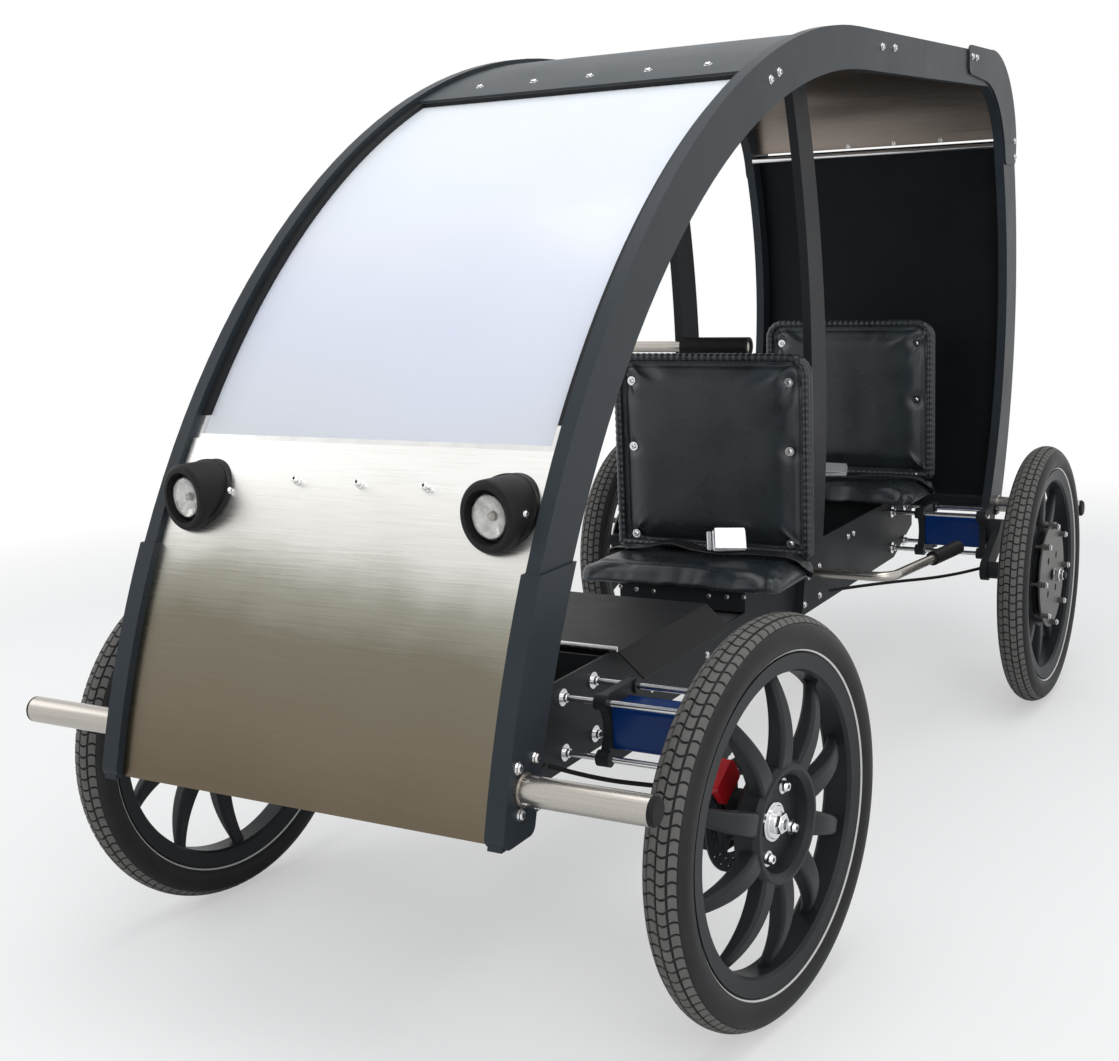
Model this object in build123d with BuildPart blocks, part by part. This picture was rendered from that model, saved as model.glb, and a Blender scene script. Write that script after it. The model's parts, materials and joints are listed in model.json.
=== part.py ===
"""Two-seat electric quadricycle, open sided, with a roof carried on two plank arches."""
import os
from math import atan, cos, hypot, radians, sin, sqrt

from build123d import *

os.makedirs("parts", exist_ok=True)

# Frame: front faces -Y, the vehicle's left is +X, the ground is Z = 0. Millimetres.
FRONT_AXLE_Y = -920.0
WHEELBASE = 1781.0
REAR_AXLE_Y = FRONT_AXLE_Y + WHEELBASE
TRACK = 1124.0
WHEEL_X = TRACK / 2

# Wheels: 24 inch, 507 mm bead seat, 72 mm tyre
TYRE_R = 320.0
TYRE_W = 72.0
TYRE_H = 66.5
BEAD_R = TYRE_R - TYRE_H
FLANGE_R = BEAD_R + 8.5
SHOULDER_DROP = 12.0
RIM_W = 54.0
RIM_INNER_R = BEAD_R - 21.5
BEAD_HALF = 22.0
RIM_FIT = 0.3

# Moulded wheel: a dished hub and ten blades that bow outward, thinning to the rim
SPOKES = 10
SPOKE_TABLES = {
    # share of the way from hub to rim, half width, sweep, outer face, inner face
    "front": ((0.00, 20.0, 0.0, 32.0, 2.0), (0.52, 16.0, -5.0, 33.0, 6.0), (1.00, 11.0, -14.0, 1.0, -15.0)),
    "rear": ((0.00, 21.0, 0.0, 3.0, -28.0), (0.52, 16.0, -5.0, 6.0, -18.0), (1.00, 11.0, -14.0, 1.0, -15.0)),
}
SPOKE_ROUND = 7.0
HUB_R = 98.0
HUB_FACE = 35.0
DISH_R = 76.0
DISH_FLOOR = 8.0
BARREL_R = 40.0
BARREL_END = -56.0
AXLE_R = 8.5
FRONT_AXLE_OUT = 30.0
REAR_AXLE_OUT = 62.0
RUN_FIT = 0.05
MOVE_GAP = 6.0

# Hub motor at each rear wheel, its cover held off on long bolts
DRUM_R = 108.0
DRUM_IN = -38.0
DRUM_OUT = 14.0
COVER_R = 131.0
COVER_X = 24.0
COVER_T = 4.0
COVER_BOLTS = 8
COVER_BOLT_R = 4.0
COVER_BOLT_OUT = 12.0

# Steering as parked: both front wheels a little to the right
STEER_DEG = -6.5
KING_X = WHEEL_X - 107.0
KING_PIN_R = 8.0
KING_BOSS_R = 19.0
KING_BOSS_H = 84.0
FORK_T = 14.0
DISC_R = 90.0
DISC_T = 3.0
DISC_BAND = 30.0
DISC_ARMS = 5
CALIPER_DEG = 35.0
CALIPER_L = 60.0
CALIPER_WALL = 11.0

# Plank arches
ARCH_IN_X = 343.0
ARCH_OUT_X = 366.0
CROWN_Z = 1590.0
ARCH_R_OUT = 1541.0
ARCH_C_OUT = (FRONT_AXLE_Y + 1038.0, CROWN_Z - ARCH_R_OUT)
ARCH_R_IN = ARCH_R_OUT - 37.0
ARCH_C_IN = (ARCH_C_OUT[0] + 26.0, ARCH_C_OUT[1] - 44.0)
ARCH_END_Y = REAR_AXLE_Y + 199.0
ROOF_RISE = 0.021
LEG_BOTTOM_Z = 406.0
LEG_STEP_Z = 758.0
LEG_PROUD = 4.0

# Body panels
SHEET_T = 2.0
SCREEN_T = 4.0
ROOF_T = 3.0
SEAL_T = 8.0
SEAL_W = 14.0
ROOF_R = ARCH_R_OUT - 9.0
SCREEN_R = ROOF_R - ROOF_T - SEAL_T
PANEL_R = ROOF_R - ROOF_T + SHEET_T
PANEL_HALF_W = ARCH_IN_X - LEG_PROUD
PANEL_TOP_Z = 912.0
PANEL_BOTTOM_Z = 410.0
SCREEN_LAP = 18.0
ROOF_FRONT_Y = ARCH_C_OUT[0] - 564.0
ROOF_END_Y = REAR_AXLE_Y + 9.0
BRACKET_T = 5.0

# Bumper tubes and lamps
BUMPER_R = 21.2
TUBE_WALL = 3.0
COLLAR_T = 4.0
COLLAR_PROUD = 3.0
CAP_T = 8.0
TUBE_GAP = 0.3
BUMPER_Z = 478.0
BUMPER_HALF = WHEEL_X + 12.0
REAR_BUMPER_Y = REAR_AXLE_Y + TYRE_R + 21.0
REAR_BUMPER_Z = 428.0
REAR_BUMPER_HALF = WHEEL_X + 33.0
LAMP_X = 282.0
LAMP_Z = 830.0
LAMP_R = 53.0
LAMP_BASE_R = 57.0
LAMP_BASE_T = 10.0
LAMP_REACH = 40.0
LAMP_TURN_DEG = 11.0
LAMP_ROUND = 8.0
LENS_R = 34.0
LENS_T = 8.0
LENS_DEEP = 16.0
NECK_R = 24.0

# Chassis rails
RAIL_X = 150.0
RAIL_T = 4.0
RAIL_BOTTOM_Z = 312.0
RAIL_TOP_Z = 472.0
RAIL_DIP_Z = 400.0
RAIL_NOSE_Z = 405.0
RAIL_REAR_Y = REAR_BUMPER_Y - 76.0
SILL_W = 34.0
SILL_H = 40.0

# Suspension units, behind and above each axle
SUSP_BACK = 135.0
SUSP_Z = 392.0
ROD_R = 5.5
ROD_DY = 54.0
ROD_DZ = 49.0
ROD_FLANGE_R = 15.0
ROD_NUT_R = 8.0
LUG_R = 14.0
LUG_T = 24.0
ARM_X = KING_X - 40.0
ARM_T = 18.0
ARM_HALF_W = 27.0
YOKE_T = 16.0
YOKE_IN_X = RAIL_X + 72.0
YOKE_OUT_X = ARM_X - 31.0
YOKE_WAIST = 42.0
BLOCK_H = 78.0
BLOCK_D = 74.0
BLOCK_ROUND = 9.0

# Seats: the back's front face stands at back_y
SEAT_HALF_W = 236.0
SEAT_DEPTH = 240.0
BASE_T = 38.0
BACK_T = 40.0
SEAT_ROUND = 46.0
SUPPORT_T = 4.0
FRONT_SEAT_Y = FRONT_AXLE_Y + 1075.0
REAR_SEAT_Y = REAR_AXLE_Y + 209.0
SEATS = (
    # name, back_y, base_top_z, back_top_z, rail_z under the base
    ("front", FRONT_SEAT_Y, 486.0, 936.0, RAIL_DIP_Z),
    ("rear", REAR_SEAT_Y, 516.0, 944.0, RAIL_TOP_Z),
)

# Pillars, floor tray, levers and battery
PILLAR_T = 20.0
PILLAR_TOP_W = 85.0
PILLAR_SHOULDER_Z = 1490.0
PILLAR_FOOT_Z = 330.0
TRAY_T = 3.0
TRAY_HALF_W = 165.0
TRAY_FLARE = 50.0
TRAY_DROP = 44.0
TRAY_FRONT_Y = FRONT_AXLE_Y + 262.0
TRAY_REAR_Y = FRONT_AXLE_Y + 640.0
TRAY_BAR_R = 6.0
LEVER_R = 11.0
LEVER_Z = 420.0
LEVER_BEND = 45.0
GRIP_R = 17.0
GRIP_L = 140.0
BATTERY_SIZE = (270.0, 520.0, 76.0)
HOSE_R = 4.0
HOSE_BEND = 30.0


def save(piece, name):
    piece.part.label = name
    export_step(piece.part, f"parts/{name}.step")


def arc_point(centre, radius, y=None, z=None):
    """Point of an arch circle at a given y, or at a given z on its front half."""
    if y is not None:
        return (y, centre[1] + sqrt(radius ** 2 - (y - centre[0]) ** 2))
    return (centre[0] - sqrt(radius ** 2 - (z - centre[1]) ** 2), z)


def arc_mid(centre, radius, start, end):
    """Middle point of the arc between two points of a circle."""
    y = (start[0] + end[0]) / 2 - centre[0]
    z = (start[1] + end[1]) / 2 - centre[1]
    length = hypot(y, z)
    return (centre[0] + y / length * radius, centre[1] + z / length * radius)


def crown(centre, radius):
    """Point of an arch circle where its slope is the rise of the roof."""
    lean = atan(ROOF_RISE)
    return (centre[0] - radius * sin(lean), centre[1] + radius * cos(lean))


def along_roof(start, y):
    """Point at a given y on the straight rear part of the roof line."""
    return (y, start[1] + ROOF_RISE * (y - start[0]))


def across(x):
    """Side-view plane at a given x, local axes along Y and Z."""
    return Plane(origin=(x, 0, 0), x_dir=(0, 1, 0), z_dir=(1, 0, 0))


def facing_front(x, y, z):
    """Upright plane that looks forward, local axes along X and Z."""
    return Plane(origin=(x, y, z), x_dir=(1, 0, 0), z_dir=(0, -1, 0))


# The front tube lies just behind the panel
BUMPER_Y = arc_point(ARCH_C_OUT, PANEL_R - SHEET_T, z=BUMPER_Z)[0] + BUMPER_R + SHEET_T

# Arches: one plank each side, thicker at the leg, running back along the roof
crown_out = crown(ARCH_C_OUT, ARCH_R_OUT)
crown_in = crown(ARCH_C_IN, ARCH_R_IN)
arch_end_out = along_roof(crown_out, ARCH_END_Y)
arch_end_in = along_roof(crown_in, ARCH_END_Y)
foot_out = arc_point(ARCH_C_OUT, ARCH_R_OUT, z=LEG_BOTTOM_Z)
foot_in = arc_point(ARCH_C_IN, ARCH_R_IN, z=LEG_BOTTOM_Z)
leg_foot_out = arc_point(ARCH_C_OUT, ARCH_R_OUT + LEG_PROUD, z=LEG_BOTTOM_Z)
leg_foot_in = arc_point(ARCH_C_IN, ARCH_R_IN - LEG_PROUD, z=LEG_BOTTOM_Z)
leg_top_out = arc_point(ARCH_C_OUT, ARCH_R_OUT + LEG_PROUD, z=LEG_STEP_Z)
leg_top_in = arc_point(ARCH_C_IN, ARCH_R_IN - LEG_PROUD, z=LEG_STEP_Z)
LEG_ROUND = 16.0

for side, name in ((1, "arch_left"), (-1, "arch_right")):
    with BuildPart() as arch:
        with BuildSketch(across(side * ARCH_IN_X)):
            with BuildLine():
                ThreePointArc(foot_out, arc_mid(ARCH_C_OUT, ARCH_R_OUT, foot_out, crown_out), crown_out)
                Line(crown_out, arch_end_out)
                Line(arch_end_out, arch_end_in)
                Line(arch_end_in, crown_in)
                ThreePointArc(crown_in, arc_mid(ARCH_C_IN, ARCH_R_IN, crown_in, foot_in), foot_in)
                Line(foot_in, foot_out)
            make_face()
        extrude(amount=side * (ARCH_OUT_X - ARCH_IN_X))
        with BuildSketch(across(side * (ARCH_IN_X - LEG_PROUD))) as leg:
            with BuildLine():
                ThreePointArc(
                    leg_foot_out,
                    arc_mid(ARCH_C_OUT, ARCH_R_OUT + LEG_PROUD, leg_foot_out, leg_top_out),
                    leg_top_out,
                )
                Line(leg_top_out, leg_top_in)
                ThreePointArc(
                    leg_top_in,
                    arc_mid(ARCH_C_IN, ARCH_R_IN - LEG_PROUD, leg_top_in, leg_foot_in),
                    leg_foot_in,
                )
                Line(leg_foot_in, leg_foot_out)
            make_face()
            fillet(leg.vertices().group_by(Axis.Y)[0], LEG_ROUND)
        extrude(amount=side * (ARCH_OUT_X - ARCH_IN_X + 2 * LEG_PROUD))
        with BuildSketch(across(side * (ARCH_IN_X - LEG_PROUD))):
            with Locations((BUMPER_Y, BUMPER_Z)):
                Circle(BUMPER_R + TUBE_GAP)
        extrude(amount=side * (ARCH_OUT_X - ARCH_IN_X + 2 * LEG_PROUD), mode=Mode.SUBTRACT)
    save(arch, name)

# Rear frames: planks that turn down from the roof's rear corner to the sill
REAR_TOP_Z = arch_end_out[1]
REAR_BEND_OUT = (REAR_AXLE_Y + 399.0, REAR_TOP_Z - 63.0)
REAR_SIDE_OUT = (REAR_AXLE_Y + 471.0, REAR_TOP_Z - 219.0)
REAR_BELLY_OUT = (REAR_AXLE_Y + 520.0, 1000.0)
REAR_FOOT_OUT = (REAR_BUMPER_Y + 24.0, 396.0)
REAR_FOOT_IN = (REAR_BUMPER_Y - 88.0, 428.0)
REAR_BELLY_IN = (REAR_AXLE_Y + 417.0, 1000.0)
REAR_SIDE_IN = (REAR_AXLE_Y + 363.0, REAR_TOP_Z - 264.0)
REAR_BEND_IN = (REAR_AXLE_Y + 275.0, REAR_TOP_Z - 119.0)
for side, name in ((1, "rear_frame_left"), (-1, "rear_frame_right")):
    with BuildPart() as frame:
        with BuildSketch(across(side * ARCH_IN_X)):
            with BuildLine():
                ThreePointArc(arch_end_out, REAR_BEND_OUT, REAR_SIDE_OUT)
                ThreePointArc(REAR_SIDE_OUT, REAR_BELLY_OUT, REAR_FOOT_OUT)
                Line(REAR_FOOT_OUT, REAR_FOOT_IN)
                ThreePointArc(REAR_FOOT_IN, REAR_BELLY_IN, REAR_SIDE_IN)
                ThreePointArc(REAR_SIDE_IN, REAR_BEND_IN, arch_end_in)
                Line(arch_end_in, arch_end_out)
            make_face()
            with Locations((REAR_BUMPER_Y, REAR_BUMPER_Z)):
                Circle(BUMPER_R + TUBE_GAP, mode=Mode.SUBTRACT)
        extrude(amount=side * (ARCH_OUT_X - ARCH_IN_X))
    save(frame, name)

# Corner brackets over the joint of arch and rear frame
BRACKET_FRONT_Y = REAR_AXLE_Y + 9.0
BRACKET_TOP = (REAR_AXLE_Y + 209.0, REAR_TOP_Z + 8.0)
BRACKET_BEND = (REAR_AXLE_Y + 405.0, REAR_TOP_Z - 60.0)
BRACKET_SIDE = (REAR_AXLE_Y + 481.0, REAR_TOP_Z - 210.0)
BRACKET_END = (REAR_AXLE_Y + 475.0, REAR_TOP_Z - 272.0)
BRACKET_HEEL = (REAR_AXLE_Y + 369.0, REAR_TOP_Z - 272.0)
BRACKET_BEND_IN = (REAR_AXLE_Y + 281.0, REAR_TOP_Z - 116.0)
BRACKET_IN = (REAR_AXLE_Y + 149.0, REAR_TOP_Z - 70.0)
BRACKET_ROUND = 20.0
with BuildPart() as brackets:
    for side in (1, -1):
        with BuildSketch(across(side * ARCH_OUT_X)) as plate:
            with BuildLine():
                Line((BRACKET_FRONT_Y, REAR_TOP_Z + 6.0), BRACKET_TOP)
                ThreePointArc(BRACKET_TOP, BRACKET_BEND, BRACKET_SIDE)
                Line(BRACKET_SIDE, BRACKET_END)
                Line(BRACKET_END, BRACKET_HEEL)
                ThreePointArc(BRACKET_HEEL, BRACKET_BEND_IN, BRACKET_IN)
                Line(BRACKET_IN, (BRACKET_FRONT_Y, REAR_TOP_Z - 62.0))
                Line((BRACKET_FRONT_Y, REAR_TOP_Z - 62.0), (BRACKET_FRONT_Y, REAR_TOP_Z + 6.0))
            make_face()
            fillet(plate.vertices().group_by(Axis.X)[0], BRACKET_ROUND)
            fillet(plate.vertices().group_by(Axis.Y)[0], BRACKET_ROUND)
        extrude(amount=side * BRACKET_T)
save(brackets, "rear_brackets")


def curved_sheet(centre, radius, thickness, half_w, start, end):
    """Sheet that follows an arch circle between two of its points."""
    inner = radius - thickness
    scale = inner / radius
    start_in = (centre[0] + (start[0] - centre[0]) * scale, centre[1] + (start[1] - centre[1]) * scale)
    end_in = (centre[0] + (end[0] - centre[0]) * scale, centre[1] + (end[1] - centre[1]) * scale)
    with BuildPart() as sheet:
        with BuildSketch(across(-half_w)):
            with BuildLine():
                ThreePointArc(start, arc_mid(centre, radius, start, end), end)
                Line(end, end_in)
                ThreePointArc(end_in, arc_mid(centre, inner, end_in, start_in), start_in)
                Line(start_in, start)
            make_face()
        extrude(amount=2 * half_w)
    return sheet


# Lower front panel, windscreen in its rubber frame, and roof sheet
panel_foot = arc_point(ARCH_C_OUT, PANEL_R, z=PANEL_BOTTOM_Z)
panel_top = arc_point(ARCH_C_OUT, PANEL_R, z=PANEL_TOP_Z)
lamp_y = arc_point(ARCH_C_OUT, PANEL_R, z=LAMP_Z)[0]
panel_sheet = curved_sheet(ARCH_C_OUT, PANEL_R, SHEET_T, PANEL_HALF_W, panel_foot, panel_top)
with BuildPart() as front_panel:
    add(panel_sheet.part)
    with BuildSketch(facing_front(0, lamp_y + LAMP_REACH, LAMP_Z)):
        with Locations((LAMP_X, 0), (-LAMP_X, 0)):
            Circle(NECK_R + TUBE_GAP)
    extrude(amount=2 * LAMP_REACH, mode=Mode.SUBTRACT)
save(front_panel, "front_panel")

screen_foot = arc_point(ARCH_C_OUT, SCREEN_R, z=PANEL_TOP_Z - SCREEN_LAP)
screen_top = arc_point(ARCH_C_OUT, SCREEN_R, y=ROOF_FRONT_Y + SCREEN_LAP)
windscreen = curved_sheet(ARCH_C_OUT, SCREEN_R, SCREEN_T, ARCH_IN_X, screen_foot, screen_top)
save(windscreen, "windscreen")

SEAL_R = SCREEN_R + SEAL_T
seal_foot = arc_point(ARCH_C_OUT, SEAL_R, z=PANEL_TOP_Z - SCREEN_LAP)
seal_top = arc_point(ARCH_C_OUT, SEAL_R, y=ROOF_FRONT_Y + SCREEN_LAP)
sight_foot = arc_point(ARCH_C_OUT, SEAL_R + 1, z=PANEL_TOP_Z + SEAL_W / 2)
sight_top = arc_point(ARCH_C_OUT, SEAL_R + 1, y=ROOF_FRONT_Y - SEAL_W / 2)
seal_sheet = curved_sheet(ARCH_C_OUT, SEAL_R, SEAL_T, ARCH_IN_X, seal_foot, seal_top)
sight_sheet = curved_sheet(ARCH_C_OUT, SEAL_R + 1, SEAL_T + 2, ARCH_IN_X - SEAL_W, sight_foot, sight_top)
with BuildPart() as screen_seal:
    add(seal_sheet.part)
    add(sight_sheet.part, mode=Mode.SUBTRACT)
save(screen_seal, "screen_seal")

roof_start = arc_point(ARCH_C_OUT, ROOF_R, y=ROOF_FRONT_Y)
roof_crown = crown(ARCH_C_OUT, ROOF_R)
roof_end = along_roof(roof_crown, ROOF_END_Y)
lining_start = arc_point(ARCH_C_OUT, ROOF_R - ROOF_T, y=ROOF_FRONT_Y)
lining_crown = crown(ARCH_C_OUT, ROOF_R - ROOF_T)
lining_end = along_roof(lining_crown, ROOF_END_Y)
with BuildPart() as roof_panel:
    with BuildSketch(across(-ARCH_IN_X)):
        with BuildLine():
            ThreePointArc(roof_start, arc_mid(ARCH_C_OUT, ROOF_R, roof_start, roof_crown), roof_crown)
            Line(roof_crown, roof_end)
            Line(roof_end, lining_end)
            Line(lining_end, lining_crown)
            ThreePointArc(
                lining_crown,
                arc_mid(ARCH_C_OUT, ROOF_R - ROOF_T, lining_crown, lining_start),
                lining_start,
            )
            Line(lining_start, roof_start)
        make_face()
    extrude(amount=2 * ARCH_IN_X)
save(roof_panel, "roof_panel")

# Rear upper panel, rear panel, cross tube and sill
UPPER_START = (ROOF_END_Y + SHEET_T, roof_end[1])
UPPER_TOP = (REAR_AXLE_Y + 179.0, roof_end[1] - 8.0)
UPPER_BEND = (REAR_AXLE_Y + 329.0, REAR_TOP_Z - 84.0)
UPPER_END = (REAR_AXLE_Y + 391.0, REAR_TOP_Z - 204.0)
with BuildPart() as rear_upper_panel:
    with BuildSketch(across(-ARCH_IN_X)):
        with BuildLine():
            Line(UPPER_START, UPPER_TOP)
            ThreePointArc(UPPER_TOP, UPPER_BEND, UPPER_END)
            offset(amount=SHEET_T, side=Side.RIGHT, closed=True)
        make_face()
    extrude(amount=2 * ARCH_IN_X)
save(rear_upper_panel, "rear_upper_panel")

REAR_PANEL_T = 3.0
REAR_PANEL_TOP = (UPPER_END[0] + 4.0, UPPER_END[1] - 5.0)
REAR_PANEL_BELLY = (REAR_AXLE_Y + 465.0, 1000.0)
REAR_PANEL_FOOT = (REAR_BUMPER_Y - 16.0, 452.0)
with BuildPart() as rear_panel:
    with BuildSketch(across(-ARCH_IN_X)):
        with BuildLine():
            ThreePointArc(REAR_PANEL_TOP, REAR_PANEL_BELLY, REAR_PANEL_FOOT)
            offset(amount=REAR_PANEL_T, side=Side.RIGHT, closed=True)
        make_face()
    extrude(amount=2 * ARCH_IN_X)
save(rear_panel, "rear_panel")

CROSS_TUBE_R = 7.0
with BuildPart() as rear_cross_tube:
    with BuildSketch(across(-ARCH_IN_X)):
        with Locations((UPPER_END[0] - 36.0, UPPER_END[1] - 19.0)):
            Circle(CROSS_TUBE_R)
    extrude(amount=2 * ARCH_IN_X)
save(rear_cross_tube, "rear_cross_tube")

with BuildPart() as rear_sill:
    with BuildSketch(across(-ARCH_IN_X)):
        with Locations((RAIL_REAR_Y + SILL_W / 2, REAR_BUMPER_Z + 10)):
            Rectangle(SILL_W, SILL_H)
    extrude(amount=2 * ARCH_IN_X)
save(rear_sill, "rear_sill")

# Chassis: two deep side plates that take the front tube in a notch, with cross plates between
CROSS_PLATES = (
    FRONT_AXLE_Y + SUSP_BACK - 96.0,
    FRONT_AXLE_Y + SUSP_BACK + 96.0,
    REAR_AXLE_Y + SUSP_BACK - 96.0,
    REAR_AXLE_Y + SUSP_BACK + 96.0,
    RAIL_REAR_Y - RAIL_T,
)
RAIL_HEEL_Z = RAIL_BOTTOM_Z + 60.0
with BuildPart() as chassis:
    for side in (1, -1):
        with BuildSketch(across(side * RAIL_X)) as rail:
            Polygon(
                (BUMPER_Y - BUMPER_R / 2, RAIL_TOP_Z),
                (BUMPER_Y - BUMPER_R / 2, RAIL_NOSE_Z),
                (FRONT_AXLE_Y - 120, RAIL_BOTTOM_Z),
                (RAIL_REAR_Y - 160, RAIL_BOTTOM_Z),
                (RAIL_REAR_Y, RAIL_HEEL_Z),
                (RAIL_REAR_Y, RAIL_TOP_Z),
                (FRONT_SEAT_Y + 85, RAIL_TOP_Z),
                (FRONT_SEAT_Y + 25, RAIL_DIP_Z),
                (FRONT_SEAT_Y - 555, RAIL_DIP_Z),
                (FRONT_SEAT_Y - 645, RAIL_TOP_Z),
                align=None,
            )
            with Locations((BUMPER_Y, BUMPER_Z)):
                Circle(BUMPER_R + TUBE_GAP, mode=Mode.SUBTRACT)
        extrude(amount=-side * RAIL_T)
    with BuildSketch(Plane.XY.offset(RAIL_BOTTOM_Z)):
        with Locations((0, (FRONT_AXLE_Y - 120 + RAIL_REAR_Y - 160) / 2)):
            Rectangle(2 * RAIL_X, RAIL_REAR_Y - FRONT_AXLE_Y - 40)
    extrude(amount=RAIL_T)
    for cross_y in CROSS_PLATES:
        with BuildSketch(facing_front(0, cross_y, (RAIL_TOP_Z + RAIL_HEEL_Z) / 2)):
            Rectangle(2 * RAIL_X, RAIL_TOP_Z - RAIL_HEEL_Z)
        extrude(amount=-RAIL_T)
save(chassis, "chassis")

with BuildPart() as battery:
    with Locations((0, FRONT_SEAT_Y - 265, RAIL_BOTTOM_Z + RAIL_T + BATTERY_SIZE[2] / 2)):
        Box(*BATTERY_SIZE)
save(battery, "battery")

# Bumper tubes, each with a weld collar outside the plank it goes through
TUBES = (
    # name, y, z, half length, plank face
    ("front_bumper", BUMPER_Y, BUMPER_Z, BUMPER_HALF, ARCH_OUT_X + LEG_PROUD),
    ("rear_bumper", REAR_BUMPER_Y, REAR_BUMPER_Z, REAR_BUMPER_HALF, ARCH_OUT_X),
)
for name, tube_y, tube_z, half, face_x in TUBES:
    with BuildPart() as tube:
        with BuildSketch(across(-half + CAP_T)):
            with Locations((tube_y, tube_z)):
                Circle(BUMPER_R)
                Circle(BUMPER_R - TUBE_WALL, mode=Mode.SUBTRACT)
        extrude(amount=2 * (half - CAP_T))
        for side in (1, -1):
            with BuildSketch(across(side * face_x)):
                with Locations((tube_y, tube_z)):
                    Circle(BUMPER_R + COLLAR_PROUD)
                    Circle(BUMPER_R - TUBE_WALL, mode=Mode.SUBTRACT)
            extrude(amount=side * COLLAR_T)
    save(tube, name)

with BuildPart() as bumper_caps:
    for name, tube_y, tube_z, half, face_x in TUBES:
        for side in (1, -1):
            with BuildSketch(across(side * (half - 3 * CAP_T))):
                with Locations((tube_y, tube_z)):
                    Circle(BUMPER_R - TUBE_WALL - RUN_FIT)
            extrude(amount=side * 2 * CAP_T)
            for cap_x, lean_deg in ((half - CAP_T, 0), (half - CAP_T / 2, 40)):
                with BuildSketch(across(side * cap_x)):
                    with Locations((tube_y, tube_z)):
                        Circle(BUMPER_R - TUBE_GAP)
                extrude(amount=side * CAP_T / 2, taper=lean_deg)
save(bumper_caps, "bumper_caps")

# Pillars: slim bowed planks from the rails up to the roof lining
PILLAR_Y = FRONT_SEAT_Y + 55.0
PILLAR_BELLY = 99.0
pillar_top_front = along_roof(lining_crown, PILLAR_Y)
pillar_top_rear = along_roof(lining_crown, PILLAR_Y + PILLAR_TOP_W)
with BuildPart() as pillars:
    for side in (1, -1):
        with BuildSketch(across(side * RAIL_X)):
            with BuildLine():
                ThreePointArc(
                    (PILLAR_Y + 20.0, PILLAR_FOOT_Z),
                    (PILLAR_Y + PILLAR_BELLY, 960.0),
                    (PILLAR_Y, PILLAR_SHOULDER_Z),
                )
                Line((PILLAR_Y, PILLAR_SHOULDER_Z), pillar_top_front)
                Line(pillar_top_front, pillar_top_rear)
                Line(pillar_top_rear, (PILLAR_Y + PILLAR_TOP_W, PILLAR_SHOULDER_Z))
                ThreePointArc(
                    (PILLAR_Y + PILLAR_TOP_W, PILLAR_SHOULDER_Z),
                    (PILLAR_Y + PILLAR_BELLY + 91.0, 960.0),
                    (PILLAR_Y + 160.0, RAIL_TOP_Z),
                )
                Line((PILLAR_Y + 160.0, RAIL_TOP_Z), (PILLAR_Y + 200.0, PILLAR_FOOT_Z))
                Line((PILLAR_Y + 200.0, PILLAR_FOOT_Z), (PILLAR_Y + 20.0, PILLAR_FOOT_Z))
            make_face()
        extrude(amount=side * PILLAR_T)
save(pillars, "pillars")

# Floor tray on the front rails, its sides folded down, with a round front edge
with BuildPart() as floor_tray:
    with BuildSketch(facing_front(0, TRAY_FRONT_Y, 0)):
        with BuildLine():
            Polyline(
                (-TRAY_HALF_W - TRAY_FLARE, RAIL_TOP_Z - TRAY_DROP),
                (-TRAY_HALF_W, RAIL_TOP_Z),
                (TRAY_HALF_W, RAIL_TOP_Z),
                (TRAY_HALF_W + TRAY_FLARE, RAIL_TOP_Z - TRAY_DROP),
            )
            offset(amount=TRAY_T, side=Side.LEFT, closed=True)
        make_face()
    extrude(amount=-(TRAY_REAR_Y - TRAY_FRONT_Y))
    with BuildSketch(across(-TRAY_HALF_W)):
        with Locations((TRAY_FRONT_Y, RAIL_TOP_Z + TRAY_BAR_R)):
            Circle(TRAY_BAR_R)
    extrude(amount=2 * TRAY_HALF_W)
save(floor_tray, "floor_tray")

# Seats: padded back and base on a short pedestal
for seat_name, back_y, base_top, back_top, rail_z in SEATS:
    with BuildPart() as seat_base:
        with BuildSketch(Plane.XY.offset(base_top - BASE_T)):
            with Locations((0, back_y - SEAT_DEPTH / 2 - 1)):
                RectangleRounded(2 * SEAT_HALF_W + 8, SEAT_DEPTH, 30)
        extrude(amount=BASE_T)
        fillet(seat_base.faces().sort_by(Axis.Z)[-1].edges(), 12)
    save(seat_base, f"seat_base_{seat_name}")
    with BuildPart() as seat_back:
        with BuildSketch(facing_front(0, back_y, base_top + 1)) as outline:
            with Locations((0, (back_top - base_top - 1) / 2)):
                Rectangle(2 * SEAT_HALF_W, back_top - base_top - 1)
            fillet(outline.vertices().group_by(Axis.Y)[-1], SEAT_ROUND)
        extrude(amount=BACK_T)
        fillet(seat_back.faces().sort_by(Axis.Y)[0].edges(), 12)
    save(seat_back, f"seat_back_{seat_name}")

SUPPORT_D = 190.0
SEAT_PLATE_H = 320.0
with BuildPart() as seat_supports:
    for seat_name, back_y, base_top, back_top, rail_z in SEATS:
        with BuildSketch(Plane.XY.offset(rail_z)):
            with Locations((0, back_y - 110)):
                Rectangle(2 * RAIL_X, SUPPORT_D)
                Rectangle(2 * (RAIL_X - SUPPORT_T), SUPPORT_D - 2 * SUPPORT_T, mode=Mode.SUBTRACT)
        extrude(amount=base_top - BASE_T - rail_z)
        with BuildSketch(Plane.XY.offset(base_top - BASE_T - SUPPORT_T)):
            with Locations((0, back_y - 5)):
                Rectangle(2 * RAIL_X, 50)
        extrude(amount=SUPPORT_T)
        with BuildSketch(facing_front(0, back_y, base_top - BASE_T - SUPPORT_T)):
            with Locations((0, SEAT_PLATE_H / 2)):
                Rectangle(2 * RAIL_X, SEAT_PLATE_H)
        extrude(amount=-SUPPORT_T)
save(seat_supports, "seat_supports")

# Headlamps: a round base square to the panel, and a level ring turned to the right with a deep-set lens
lean = atan((LAMP_Z - ARCH_C_OUT[1]) / (ARCH_C_OUT[0] - lamp_y))
panel_normal = (0, -cos(lean), sin(lean))
lamp_turn = radians(LAMP_TURN_DEG)


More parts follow.
